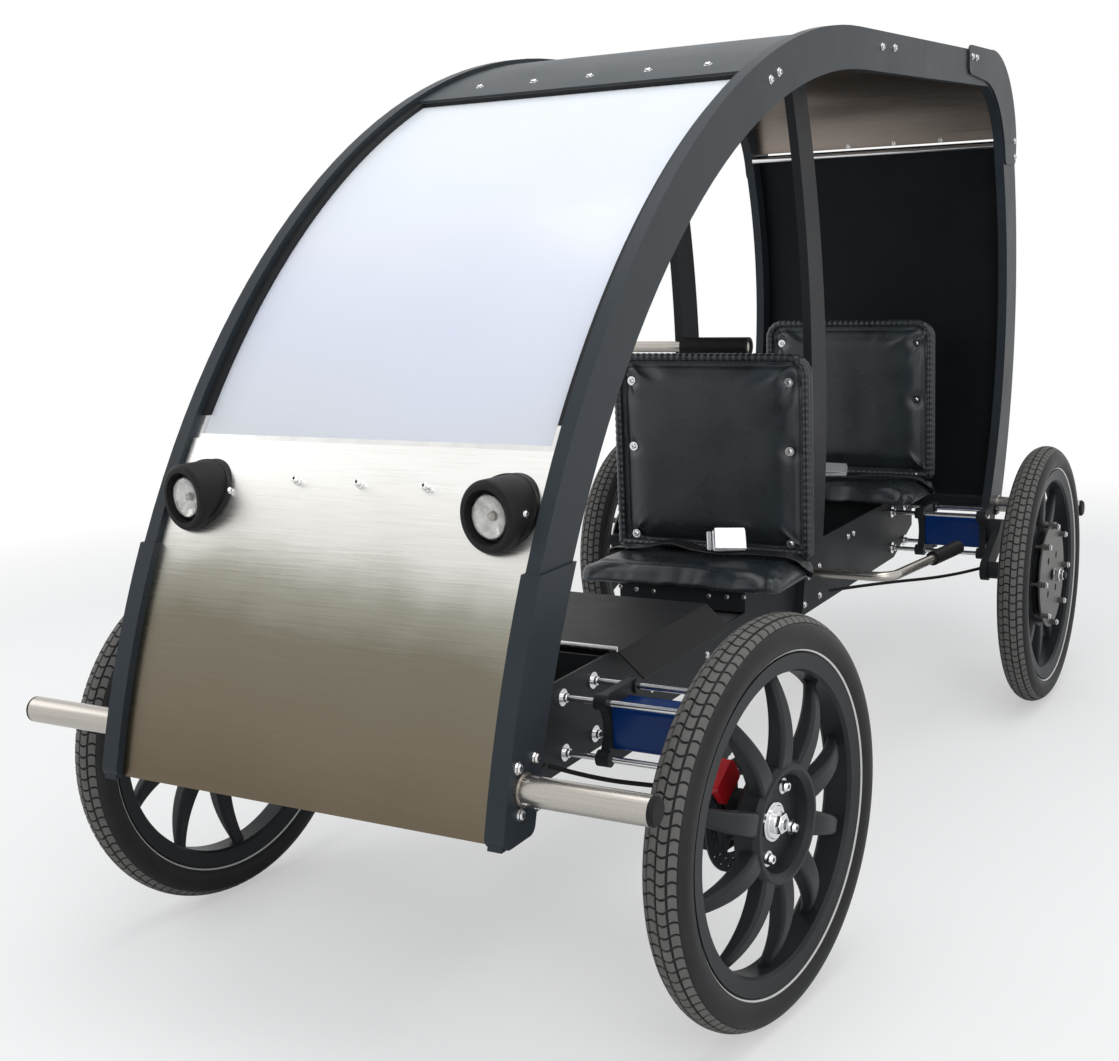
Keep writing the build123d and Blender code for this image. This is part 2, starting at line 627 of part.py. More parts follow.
def lamp_plane(side, reach):
    """Plane across the lamp's axis, its normal forward along the lamp."""
    return Plane(
        origin=(side * LAMP_X - reach * sin(lamp_turn), lamp_y - reach * cos(lamp_turn), LAMP_Z),
        x_dir=(cos(lamp_turn), -sin(lamp_turn), 0),
        z_dir=(-sin(lamp_turn), -cos(lamp_turn), 0),
    )


with BuildPart() as lamp_ring:
    Cylinder(LAMP_R, 2 * LAMP_REACH)
    fillet(lamp_ring.edges().group_by(Axis.Z)[-1], LAMP_ROUND)

with BuildPart() as headlamp_bezels:
    for side in (1, -1):
        base_plane = Plane(origin=(side * LAMP_X, lamp_y, LAMP_Z), x_dir=(1, 0, 0), z_dir=panel_normal)
        with BuildSketch(base_plane.offset(-LAMP_BASE_T)):
            Circle(LAMP_BASE_R)
        extrude(amount=2 * LAMP_BASE_T)
        with Locations(Location(lamp_plane(side, 0))):
            add(lamp_ring.part)
    with BuildSketch(across(-2 * LAMP_X)):
        with Locations(ARCH_C_OUT):
            Circle(PANEL_R)
    extrude(amount=4 * LAMP_X, mode=Mode.SUBTRACT)
    for side in (1, -1):
        with BuildSketch(facing_front(side * LAMP_X, lamp_y + LAMP_REACH / 2, LAMP_Z)):
            Circle(NECK_R)
        extrude(amount=LAMP_REACH)
        with BuildSketch(lamp_plane(side, LAMP_REACH)):
            Circle(LENS_R + 6)
        extrude(amount=-LENS_DEEP, taper=12, mode=Mode.SUBTRACT)
save(headlamp_bezels, "headlamp_bezels")

with BuildPart() as headlamp_lenses:
    for side in (1, -1):
        with BuildSketch(lamp_plane(side, LAMP_REACH - LENS_DEEP)):
            Circle(LENS_R)
        extrude(amount=LENS_T, taper=12)
save(headlamp_lenses, "headlamp_lenses")

# Suspension at each corner: rods through two waisted yokes, with a rubber spring block between
CORNERS = (
    # name, side, axle_y
    ("front_left", 1, FRONT_AXLE_Y),
    ("front_right", -1, FRONT_AXLE_Y),
    ("rear_left", 1, REAR_AXLE_Y),
    ("rear_right", -1, REAR_AXLE_Y),
)
ROD_PLACES = [(dy, dz) for dy in (-ROD_DY, ROD_DY) for dz in (-ROD_DZ, ROD_DZ)]

with BuildPart() as suspension_rods:
    for name, side, axle_y in CORNERS:
        for dy, dz in ROD_PLACES:
            for radius, reach in (
                (ROD_R, YOKE_OUT_X + LUG_T + 3 - RAIL_X),
                (ROD_FLANGE_R, RAIL_T),
                (ROD_NUT_R, RAIL_T + ROD_NUT_R),
            ):
                with BuildSketch(across(side * RAIL_X)):
                    with Locations((axle_y + SUSP_BACK + dy, SUSP_Z + dz)):
                        Circle(radius)
                extrude(amount=side * reach)
save(suspension_rods, "suspension_rods")

with BuildPart() as suspension_yokes:
    for name, side, axle_y in CORNERS:
        for yoke_x in (YOKE_IN_X, YOKE_OUT_X):
            with BuildSketch(across(side * yoke_x)):
                with Locations((axle_y + SUSP_BACK, SUSP_Z)):
                    Rectangle(2 * ROD_DY, 2 * (ROD_DZ + LUG_R))
                    for end in (1, -1):
                        with Locations((end * (YOKE_WAIST + 60.0), 0)):
                            Circle(60.0, mode=Mode.SUBTRACT)
            extrude(amount=side * YOKE_T)
            with BuildSketch(across(side * (yoke_x - (LUG_T - YOKE_T) / 2))):
                with Locations(*[(axle_y + SUSP_BACK + dy, SUSP_Z + dz) for dy, dz in ROD_PLACES]):
                    Circle(LUG_R)
            extrude(amount=side * LUG_T)
            with BuildSketch(across(side * (yoke_x - LUG_T))):
                with Locations(*[(axle_y + SUSP_BACK + dy, SUSP_Z + dz) for dy, dz in ROD_PLACES]):
                    Circle(ROD_R)
            extrude(amount=side * 3 * LUG_T, mode=Mode.SUBTRACT)
save(suspension_yokes, "suspension_yokes")

with BuildPart() as spring_blocks:
    for name, side, axle_y in CORNERS:
        with BuildSketch(across(side * (YOKE_IN_X + YOKE_T))):
            with Locations((axle_y + SUSP_BACK, SUSP_Z)):
                RectangleRounded(BLOCK_D, BLOCK_H, BLOCK_ROUND)
        extrude(amount=side * (YOKE_OUT_X - YOKE_IN_X - YOKE_T))
save(spring_blocks, "spring_blocks")

# Leading arms from the outer yokes to the axles
with BuildPart() as swing_arms:
    for name, side, axle_y in CORNERS:
        with BuildSketch(across(side * (YOKE_OUT_X + YOKE_T))):
            with Locations((axle_y + SUSP_BACK, SUSP_Z)):
                Circle(ARM_HALF_W + 7)
        extrude(amount=side * (ARM_X + ARM_T - YOKE_OUT_X - YOKE_T))
        with BuildSketch(across(side * ARM_X)):
            with BuildLine():
                Line((axle_y + SUSP_BACK, SUSP_Z), (axle_y, TYRE_R))
                offset(amount=ARM_HALF_W)
            make_face()
        extrude(amount=side * ARM_T)
        if name.startswith("front"):
            with BuildSketch(Plane.XY.offset(TYRE_R - KING_BOSS_H / 2)):
                with Locations((side * KING_X, axle_y)):
                    Circle(KING_BOSS_R)
                with Locations((side * (KING_X + ARM_X) / 2, axle_y)):
                    Rectangle(KING_X - ARM_X, 2 * KING_BOSS_R - 8)
            extrude(amount=KING_BOSS_H)
            with BuildSketch(Plane.XY.offset(TYRE_R - KING_BOSS_H / 2)):
                with Locations((side * KING_X, axle_y)):
                    Circle(KING_PIN_R + RUN_FIT)
            extrude(amount=KING_BOSS_H, mode=Mode.SUBTRACT)
        else:
            with BuildSketch(across(side * (ARM_X + ARM_T))):
                with Locations((axle_y, TYRE_R)):
                    Circle(AXLE_R + 13)
            extrude(amount=side * (WHEEL_X + BARREL_END - MOVE_GAP - ARM_X - ARM_T))
            with BuildSketch(across(side * ARM_X)):
                with Locations((axle_y, TYRE_R)):
                    Circle(AXLE_R)
            extrude(amount=side * (WHEEL_X + REAR_AXLE_OUT - ARM_X))
save(swing_arms, "swing_arms")


def wheel_frame(name, side, axle_y):
    """Wheel centre and outward axle direction, with the front wheels steered as parked."""
    turn = 0.0
    if name.startswith("front"):
        turn = radians(STEER_DEG)
    outward = Vector(side * cos(turn), side * sin(turn), 0)
    pivot = Vector(side * KING_X, axle_y, TYRE_R)
    if name.startswith("rear"):
        return Vector(side * WHEEL_X, axle_y, TYRE_R), outward
    return pivot + outward * (WHEEL_X - KING_X), outward


def facing(centre, outward, offset_out):
    """Plane across the axle: local x level, local y up, normal outward."""
    return Plane(
        origin=centre + outward * offset_out,
        x_dir=Vector(0, 0, 1).cross(outward),
        z_dir=outward,
    )


# Wheel section plane: local x along the radius, local y outward along the axle
SECTION = Plane(origin=(0, 0, 0), x_dir=(1, 0, 0), z_dir=(0, -1, 0))

with BuildPart() as tyre_form:
    with BuildSketch(SECTION):
        with BuildLine():
            Line((BEAD_R, -BEAD_HALF), (FLANGE_R, 2 - RIM_W / 2))
            ThreePointArc(
                (FLANGE_R, 2 - RIM_W / 2),
                ((BEAD_R + TYRE_R) / 2, -TYRE_W / 2),
                (TYRE_R - SHOULDER_DROP, 9 - TYRE_W / 2),
            )
            ThreePointArc(
                (TYRE_R - SHOULDER_DROP, 9 - TYRE_W / 2), (TYRE_R, 0), (TYRE_R - SHOULDER_DROP, TYRE_W / 2 - 9)
            )
            ThreePointArc(
                (TYRE_R - SHOULDER_DROP, TYRE_W / 2 - 9),
                ((BEAD_R + TYRE_R) / 2, TYRE_W / 2),
                (FLANGE_R, RIM_W / 2 - 2),
            )
            Line((FLANGE_R, RIM_W / 2 - 2), (BEAD_R, BEAD_HALF))
            Line((BEAD_R, BEAD_HALF), (BEAD_R, -BEAD_HALF))
        make_face()
    revolve(axis=Axis.Z)

# Blades: one lofted through the rounded sections that the table gives, then set round the hub
blade_sets = {}
for axle_name, blade_root in (("front", HUB_R - 10.0), ("rear", DRUM_R - 10.0)):
    blade_reach = RIM_INNER_R + 4.0 - blade_root
    with BuildPart() as blade:
        for share, half_w, sweep_y, outer, inner in SPOKE_TABLES[axle_name]:
            section_place = Plane(
                origin=(blade_root + share * blade_reach, sweep_y, (outer + inner) / 2),
                x_dir=(0, 1, 0),
                z_dir=(1, 0, 0),
            )
            with BuildSketch(section_place):
                RectangleRounded(2 * half_w, outer - inner, SPOKE_ROUND)
        loft()
    with BuildPart() as blades:
        with PolarLocations(0, SPOKES, start_angle=90):
            add(blade.part)
    blade_sets[axle_name] = blades.part

RIM_SECTION = (
    (FLANGE_R - 1, -RIM_W / 2 - 1),
    (FLANGE_R - 1, -RIM_W / 2 + 2 - RIM_FIT),
    (BEAD_R - RIM_FIT, -BEAD_HALF - RIM_FIT),
    (BEAD_R - RIM_FIT, BEAD_HALF + RIM_FIT),
    (FLANGE_R - 1, RIM_W / 2 - 2 + RIM_FIT),
    (FLANGE_R - 1, RIM_W / 2 + 1),
    (RIM_INNER_R + 4, RIM_W / 2 - 2),
    (RIM_INNER_R, RIM_W / 2 - 8),
    (RIM_INNER_R, -RIM_W / 2 + 8),
    (RIM_INNER_R + 4, -RIM_W / 2 + 2),
)
DISH_SECTION = (
    (0, BARREL_END),
    (BARREL_R, BARREL_END),
    (BARREL_R, -18),
    (HUB_R - 6, -8),
    (HUB_R, 0),
    (HUB_R, HUB_FACE - 8),
    (HUB_R - 8, HUB_FACE),
    (DISH_R + 8, HUB_FACE),
    (DISH_R, HUB_FACE - 8),
    (DISH_R - 4, DISH_FLOOR),
    (0, DISH_FLOOR),
)
DRUM_SECTION = (
    (0, BARREL_END),
    (BARREL_R, BARREL_END),
    (BARREL_R + 4, DRUM_IN - 6),
    (DRUM_R - 6, DRUM_IN),
    (DRUM_R, DRUM_IN + 6),
    (DRUM_R, -6),
    (COVER_R, -4),
    (COVER_R, 6),
    (DRUM_R, 6),
    (DRUM_R, DRUM_OUT - 4),
    (DRUM_R - 4, DRUM_OUT),
    (0, DRUM_OUT),
)
wheel_forms = {}
for axle_name, hub_section in (("front", DISH_SECTION), ("rear", DRUM_SECTION)):
    with BuildPart() as wheel_form:
        add(blade_sets[axle_name])
        with BuildSketch(SECTION):
            Polygon(*RIM_SECTION, align=None)
            Polygon(*hub_section, align=None)
        revolve(axis=Axis.Z)
        with BuildSketch(Plane.XY.offset(2 * BARREL_END)):
            Circle(AXLE_R + RUN_FIT)
        extrude(amount=-4 * BARREL_END, mode=Mode.SUBTRACT)
    wheel_forms[axle_name] = wheel_form.part

# Brake disc: a drilled band on five arms
with BuildPart() as disc_form:
    with BuildSketch(Plane.XY.offset(BARREL_END - DISC_T)):
        Circle(DISC_R)
        Circle(DISC_R - DISC_BAND, mode=Mode.SUBTRACT)
        Circle(BARREL_R - 4)
        with PolarLocations((BARREL_R + DISC_R - DISC_BAND) / 2, DISC_ARMS, start_angle=18):
            Rectangle(DISC_R - DISC_BAND - BARREL_R + 20, 14)
        for hole_r, turn in ((DISC_R - 9, 0), (DISC_R - 20, 9)):
            with PolarLocations(hole_r, 20, start_angle=turn):
                Circle(3.2, mode=Mode.SUBTRACT)
        Circle(AXLE_R + RUN_FIT, mode=Mode.SUBTRACT)
    extrude(amount=DISC_T)

# Motor cover: a plate with a cable hole, on long bolts that stand on the drum's flange
with BuildPart() as cover_form:
    with BuildSketch(Plane.XY.offset(COVER_X)):
        Circle(COVER_R)
        Circle(AXLE_R + MOVE_GAP, mode=Mode.SUBTRACT)
        with PolarLocations(COVER_R * 0.45, 4, start_angle=45):
            Circle(9, mode=Mode.SUBTRACT)
    extrude(amount=COVER_T)
    with BuildSketch(Plane.XY.offset(6)):
        with PolarLocations(COVER_R - 9, COVER_BOLTS):
            Circle(COVER_BOLT_R)
    extrude(amount=COVER_X + COVER_T + COVER_BOLT_OUT - 6)
    for nut_z, nut_h in ((COVER_X - 5, 5), (COVER_X + COVER_T, 5), (COVER_X + COVER_T + COVER_BOLT_OUT - 5, 5)):
        with BuildSketch(Plane.XY.offset(nut_z)):
            with PolarLocations(COVER_R - 9, COVER_BOLTS):
                RegularPolygon(COVER_BOLT_R * 1.9, 6)
        extrude(amount=nut_h)

CALIPER_R = DISC_R - DISC_BAND + 4
CALIPER_TOP_R = DISC_R + MOVE_GAP + CALIPER_WALL
caliper_in = BARREL_END - DISC_T - MOVE_GAP - CALIPER_WALL
caliper_out = BARREL_END + MOVE_GAP + CALIPER_WALL
for name, side, axle_y in CORNERS:
    centre, outward = wheel_frame(name, side, axle_y)
    wheel_place = Location(facing(centre, outward, 0))
    with BuildPart() as tyre:
        with Locations(wheel_place):
            add(tyre_form.part)
    save(tyre, f"tyre_{name}")
    with BuildPart() as rim:
        with Locations(wheel_place):
            add(wheel_forms[name.split("_")[0]])
    save(rim, f"rim_{name}")
    if name.startswith("rear"):
        with BuildPart() as motor_cover:
            with Locations(wheel_place):
                add(cover_form.part)
        save(motor_cover, f"motor_cover_{name}")
        continue
    with BuildPart() as disc:
        with Locations(wheel_place):
            add(disc_form.part)
    save(disc, f"disc_{name}")
    king = Vector(side * KING_X, axle_y, TYRE_R)
    caliper_turn = 90 + side * CALIPER_DEG
    fork_half = KING_BOSS_H / 2 + MOVE_GAP
    with BuildPart() as knuckle:
        for bottom in (-fork_half - FORK_T, fork_half):
            with BuildSketch(Plane(origin=king + Vector(0, 0, bottom), x_dir=outward, z_dir=(0, 0, 1))):
                Circle(KING_BOSS_R + 1)
                with Locations((KING_BOSS_R - 3, 0)):
                    Rectangle(2 * KING_BOSS_R - 6, 2 * KING_BOSS_R + 2)
            extrude(amount=FORK_T)
        with BuildSketch(Plane(origin=king, x_dir=outward, z_dir=(0, 0, 1))):
            with Locations((KING_BOSS_R + 2 * MOVE_GAP, 0)):
                Rectangle(10, 2 * KING_BOSS_R + 2)
        extrude(amount=fork_half + FORK_T, both=True)
        with BuildSketch(Plane(origin=king - Vector(0, 0, fork_half + FORK_T), x_dir=outward, z_dir=(0, 0, 1))):
            Circle(KING_PIN_R)
        extrude(amount=2 * (fork_half + FORK_T))
        with BuildSketch(facing(king, outward, KING_BOSS_R + 2 * MOVE_GAP)):
            Circle(AXLE_R)
        extrude(amount=WHEEL_X + FRONT_AXLE_OUT - KING_X - KING_BOSS_R - 2 * MOVE_GAP)
        with BuildSketch(facing(centre, outward, caliper_in - 6)):
            with PolarLocations(CALIPER_TOP_R / 2 - 10, 1, start_angle=caliper_turn):
                Rectangle(CALIPER_TOP_R + 20, 34)
        extrude(amount=6)
    save(knuckle, f"knuckle_{name}")
    with BuildPart() as caliper:
        with BuildSketch(facing(centre, outward, caliper_in)) as block:
            with PolarLocations((CALIPER_R + CALIPER_TOP_R) / 2, 1, start_angle=caliper_turn):
                RectangleRounded(CALIPER_TOP_R - CALIPER_R, CALIPER_L, 8)
        extrude(amount=caliper_out - caliper_in)
        with BuildSketch(facing(centre, outward, caliper_in + CALIPER_WALL)):
            Circle(DISC_R + MOVE_GAP)
        extrude(amount=caliper_out - caliper_in - 2 * CALIPER_WALL, mode=Mode.SUBTRACT)
    save(caliper, f"caliper_{name}")

# Hand lever at the left, laid back beside the rear seat
lever_root = RAIL_X + PILLAR_T
lever_reach = WHEEL_X - 202.0
lever_bend = Vector(lever_reach, PILLAR_Y + 73.0, LEVER_Z)
lever_end = Vector(lever_reach + 53.0, PILLAR_Y + 426.0, LEVER_Z + 2.0)
lever_way = (lever_end - lever_bend).normalized()

# Grab bar for the rear seat, clamped to the front edge of the right pillar
GRAB_R = 13.0
GRAB_Z = 936.0
GRAB_GRIP_R = 22.0
GRAB_LEFT_X = 22.0
GRAB_RIGHT_X = -280.0
GRAB_GRIP_L = 168.0
GRAB_GAP = 1.0
grab_y = PILLAR_Y + PILLAR_BELLY - GRAB_R - GRAB_GAP

with BuildPart() as levers:
    with BuildLine() as lever_path:
        FilletPolyline((lever_root, lever_bend.Y, LEVER_Z), lever_bend, lever_end, radius=LEVER_BEND)
    with BuildSketch(lever_path.line ^ 0):
        Circle(LEVER_R)
    sweep()
    with BuildSketch(across(GRAB_RIGHT_X)):
        with Locations((grab_y, GRAB_Z)):
            Circle(GRAB_R)
    extrude(amount=GRAB_LEFT_X - GRAB_RIGHT_X)
save(levers, "levers")

with BuildPart() as lever_grips:
    with BuildSketch(Plane(origin=lever_end - lever_way * (GRIP_L - 3), z_dir=lever_way)):
        Circle(GRIP_R)
        Circle(LEVER_R + RUN_FIT, mode=Mode.SUBTRACT)
    extrude(amount=GRIP_L)
    with BuildSketch(across(GRAB_LEFT_X + 3 - GRAB_GRIP_L)):
        with Locations((grab_y, GRAB_Z)):
            Circle(GRAB_GRIP_R)
            Circle(GRAB_R + RUN_FIT, mode=Mode.SUBTRACT)
    extrude(amount=GRAB_GRIP_L)
save(lever_grips, "lever_grips")

# Brake hoses and motor leads: each leaves the rail low down and ends on the inner face of the arm
HOSES = (
    # points from the rail to the arm, as (x, y, z) on the left side
    (
        (RAIL_X + HOSE_R, FRONT_AXLE_Y + 20.0, 340.0),
        (RAIL_X + 70.0, FRONT_AXLE_Y + 52.0, 316.0),
        (ARM_X - 75.0, FRONT_AXLE_Y + 58.0, 318.0),
        (ARM_X - HOSE_R, FRONT_AXLE_Y + 30.0, 334.0),
    ),
    (
        (RAIL_X + HOSE_R, PILLAR_Y + 215.0, 340.0),
        (RAIL_X + 60.0, REAR_AXLE_Y - 220.0, 316.0),
        (ARM_X - 60.0, REAR_AXLE_Y - 70.0, 312.0),
        (ARM_X - HOSE_R, REAR_AXLE_Y + 6.0, 322.0),
    ),
)
with BuildPart() as brake_hoses:
    for points in HOSES:
        for side in (1, -1):
            with BuildLine() as route:
                FilletPolyline(*[(side * x, y, z) for x, y, z in points], radius=HOSE_BEND)
            with BuildSketch(route.line ^ 0):
                Circle(HOSE_R)
            sweep()
save(brake_hoses, "brake_hoses")
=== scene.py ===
# %% [markdown]
# # A two-seat electric quadricycle
# The vehicle is an open frame: two plank arches carry a roof, a tall windscreen and a steel nose panel,
# two leather seats stand one behind the other on a pair of rails, and four bicycle-like wheels carry it all.
# The CAD model arrives as a fixed frame in metres, with the nose towards -Y, the left side at +X and the
# ground at Z = 0. Everything below is set on that frame, so a wheel bolt needs no fitting: its place is
# worked out from the same sizes that the solids have.

# %% Load the frame
import json
from functools import cache, partial
from math import atan2, cos, exp, hypot, radians, sin, tau

import bmesh
import bpy
from mathutils import Matrix, Vector, noise
from mathutils.bvhtree import BVHTree

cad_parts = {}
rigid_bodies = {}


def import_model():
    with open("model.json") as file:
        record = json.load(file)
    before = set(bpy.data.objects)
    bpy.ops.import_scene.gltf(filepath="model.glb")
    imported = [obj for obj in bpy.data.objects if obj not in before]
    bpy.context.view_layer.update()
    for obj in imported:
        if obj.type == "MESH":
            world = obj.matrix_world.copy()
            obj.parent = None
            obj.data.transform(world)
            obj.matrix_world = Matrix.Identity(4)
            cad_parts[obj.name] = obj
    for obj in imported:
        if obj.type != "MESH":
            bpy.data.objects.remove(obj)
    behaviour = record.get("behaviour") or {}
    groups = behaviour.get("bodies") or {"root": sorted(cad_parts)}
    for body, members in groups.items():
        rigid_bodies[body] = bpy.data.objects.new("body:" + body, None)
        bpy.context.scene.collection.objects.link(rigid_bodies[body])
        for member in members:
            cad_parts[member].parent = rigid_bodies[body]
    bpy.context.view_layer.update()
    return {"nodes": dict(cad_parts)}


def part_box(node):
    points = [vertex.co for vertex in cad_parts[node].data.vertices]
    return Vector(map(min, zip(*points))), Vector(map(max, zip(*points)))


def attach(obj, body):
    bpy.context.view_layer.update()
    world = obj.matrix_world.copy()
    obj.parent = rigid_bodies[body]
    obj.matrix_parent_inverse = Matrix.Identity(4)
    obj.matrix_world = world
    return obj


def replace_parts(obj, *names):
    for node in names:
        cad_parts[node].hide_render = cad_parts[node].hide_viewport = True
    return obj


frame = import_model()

nodes = frame["nodes"]
scene = bpy.context.scene

# %% [markdown]
# The camera stands where the photographer stood: in front of the left wheel, at about chest height, looking
# a little down and with the picture tilted by two and a half degrees. Those angles were worked out from the
# ellipses of the four wheels, so they are written here as numbers and turned into the camera's three axes.

# %% Camera
EYE = Vector((1.4217, -3.0023, 1.2171))
YAW, PITCH, ROLL = radians(30.241), radians(11.017), radians(2.475)
FOCAL_PX, IMAGE_W, IMAGE_H, SENSOR_MM = 1541.2, 1119.0, 1061.0, 36.0

ahead = Vector((-sin(YAW) * cos(PITCH), cos(YAW) * cos(PITCH), -sin(PITCH)))
level_right = ahead.cross(Vector((0, 0, 1))).normalized()
level_down = ahead.cross(level_right)
right = level_right * cos(ROLL) + level_down * sin(ROLL)
down = level_down * cos(ROLL) - level_right * sin(ROLL)


def add_object(name, data):
    """A new object, linked into the scene."""
    thing = bpy.data.objects.new(name, data)
    scene.collection.objects.link(thing)
    return thing


def axes_matrix(x, y, z, place):
    """A matrix from its three axes and its place."""
    return Matrix([(x[i], y[i], z[i], place[i]) for i in range(3)] + [(0, 0, 0, 1)])


camera = add_object("camera", bpy.data.cameras.new("camera"))
camera.data.sensor_width = SENSOR_MM
camera.data.lens = SENSOR_MM * FOCAL_PX / IMAGE_W
camera.matrix_world = axes_matrix(right, -down, -ahead, EYE)
scene.camera = camera
scene.view_settings.view_transform = "Standard"
print("camera lens", round(camera.data.lens, 2), "mm")

# %% [markdown]
# Node trees are the backbone of this file: every finish is a shader tree and everything that repeats is a
# geometry tree. One small helper adds a node, sets its properties and fills its inputs, either with a value
# or with a link from another node, so that each tree reads from top to bottom like a recipe. The nodes that
# come up most often get a helper of their own, which hands back a pair that the next node can take as input.


# %% Helpers that add nodes
def put(tree, kind, inputs=None, **properties):
    """Adds a node, named without its prefix. An input is a value, or a (node, output) pair to link from."""
    prefixes = ("ShaderNode", "GeometryNode", "FunctionNode", "")
    node = tree.nodes.new(next(p + kind for p in prefixes if hasattr(bpy.types, p + kind)))
    for key, value in properties.items():
        setattr(node, key, value)
    for key, value in (inputs or {}).items():
        if isinstance(value, tuple) and len(value) == 2 and isinstance(value[0], bpy.types.Node):
            tree.links.new(value[0].outputs[value[1]], node.inputs[key])
        else:
            node.inputs[key].default_value = value
    return node


def math(tree, operation, *terms):
    return put(tree, "Math", dict(enumerate(terms)), operation=operation), 0


def cloud(tree, place, scale, detail=2.0, roughness=0.5):
    return put(tree, "TexNoise", {"Vector": place, "Scale": scale, "Detail": detail, "Roughness": roughness}), 0


def tones(tree, share, deep, pale):
    return put(tree, "Mix", {0: share, 6: (*deep, 1), 7: (*pale, 1)}, data_type="RGBA"), 2


def ranged(tree, value, start, end, low=0.0, high=1.0):
    return put(tree, "MapRange", {
        "Value": value, "From Min": start, "From Max": end, "To Min": low, "To Max": high}), 0


def bump(tree, height, strength, distance):
    return put(tree, "Bump", {"Height": height, "Strength": strength, "Distance": distance}), 0


def ramp(tree, share, stops):
    """Colours that follow one another; each stop is (place from 0 to 1, colour)."""
    node = put(tree, "ValToRGB", {0: share})
    while len(node.color_ramp.elements) < len(stops):
        node.color_ramp.elements.new(0.5)
    for element, (place, colour) in zip(node.color_ramp.elements, stops):
        element.position = place
        element.color = (*colour, 1)
    return node, 0


def principled(tree, tone, rough, normal, more):
    """The shader that most finishes end in; more holds what only some of them set."""
    return put(tree, "BsdfPrincipled", {"Base Color": tone, "Roughness": rough, "Normal": normal, **more})


def shader_sheet(name):
    """A material, its empty tree, and the object's own coordinates to paint by."""
    material = bpy.data.materials.new(name)
    material.use_nodes = True
    material.node_tree.nodes.clear()
    return material, material.node_tree, (put(material.node_tree, "TexCoord"), "Object")


def close_sheet(tree, shader):
    put(tree, "OutputMaterial", {"Surface": (shader, 0)})


print("helpers ready")

# %% [markdown]
# The stage is a pale floor that runs far out and fades to white, with a large soft lamp overhead, two weaker
# ones from the front and the far side, and a dim sky. Only camera, glossy and transmission rays see the sky as
# white, so the backdrop is clean without putting more light on the object.

# %% Floor, sky and lamps
FLOOR_HALF, FADE_FROM, FADE_TO, FLOOR_LIFT = 40, 1.5, 4.2, 0.45
SKY_TINT, SKY_POWER = (0.94, 0.97, 1, 1), 0.55
WHITE, FLOOR_TONE = (1, 1, 1, 1), (0.93, 0.93, 0.93, 1)

floor_finish, tree, place = shader_sheet("studio_floor")
reach = put(tree, "VectorMath", {0: place}, operation="LENGTH")
fade = ranged(tree, (reach, "Value"), FADE_FROM, FADE_TO)
lift = math(tree, "MULTIPLY", (put(tree, "LightPath"), "Is Camera Ray"), FLOOR_LIFT)
matt = put(tree, "BsdfDiffuse", {"Color": FLOOR_TONE})
glow = put(tree, "Emission", {"Color": WHITE, "Strength": 1.0})
close_sheet(tree, put(tree, "MixShader", {0: math(tree, "MAXIMUM", fade, lift), 1: (matt, 0), 2: (glow, 0)}))

floor_mesh = bpy.data.meshes.new("floor")
floor_mesh.from_pydata([(FLOOR_HALF * x, FLOOR_HALF * y, 0) for x, y in ((-1, -1), (1, -1), (1, 1), (-1, 1))],
                       [], [(0, 1, 2, 3)])
floor_mesh.materials.append(floor_finish)
floor = add_object("floor", floor_mesh)

world = bpy.data.worlds.new("sky")
world.use_nodes = True
scene.world = world
tree = world.node_tree
tree.nodes.clear()
rays = put(tree, "LightPath")
seen = math(tree, "MAXIMUM", (rays, "Is Camera Ray"), (rays, "Is Glossy Ray"))
seen = math(tree, "MAXIMUM", seen, (rays, "Is Transmission Ray"))
dim = put(tree, "Background", {"Color": SKY_TINT, "Strength": SKY_POWER})
white = put(tree, "Background", {"Color": WHITE, "Strength": 1.0})
sky = put(tree, "MixShader", {0: seen, 1: (dim, 0), 2: (white, 0)})
put(tree, "OutputWorld", {"Surface": (sky, 0)})

LAMPS = (
    # name, place, aim, size, power
    ("top_lamp", (0.4, -0.6, 4.2), (0, 0.1, 0.6), 3.4, 78.0),
    ("front_lamp", (3.4, -3.2, 2.4), (0.2, -0.3, 0.7), 2.6, 36.0),
    ("side_lamp", (-3.6, -1.6, 2.2), (0, 0, 0.8), 2.4, 26.0),
)
for name, spot, aim, size, power in LAMPS:
    lamp = add_object(name, bpy.data.lights.new(name, "AREA"))
    lamp.data.size = size
    lamp.data.energy = power
    lamp.location = spot
    lamp.rotation_mode = "QUATERNION"
    lamp.rotation_quaternion = (Vector(aim) - Vector(spot)).to_track_quat("-Z", "Y")
print("stage:", len(LAMPS), "lamps")

# %% [markdown]
# Most of the vehicle is painted or moulded, and every such finish follows one recipe: two close tones mixed by
# a slow noise, a roughness that wanders between two values, and a fine grain that lifts the surface a
# fraction of a millimetre. The recipe is a function, so a finish is one row with its own tones and scales.


# %% The recipe for paint, moulded plastic and rubber
def mixed_finish(name, pale, deep, rough, blotch=7.0, grain=900.0, depth=0.00004, metallic=0.0, coat=0.0,
                 specular=0.5):
    """Two tones mixed by noise, roughness between two values, and a fine raised grain."""
    material, tree, place = shader_sheet(name)
    slow, fine = cloud(tree, place, blotch, 5.0, 0.6), cloud(tree, place, grain)
    shine = ranged(tree, math(tree, "ADD", slow, fine), 0.6, 1.4, *rough)
    close_sheet(tree, principled(tree, tones(tree, slow, deep, pale), shine, bump(tree, fine, 0.6, depth), {
        "Metallic": metallic, "Coat Weight": coat, "Specular IOR Level": specular}))
    return material


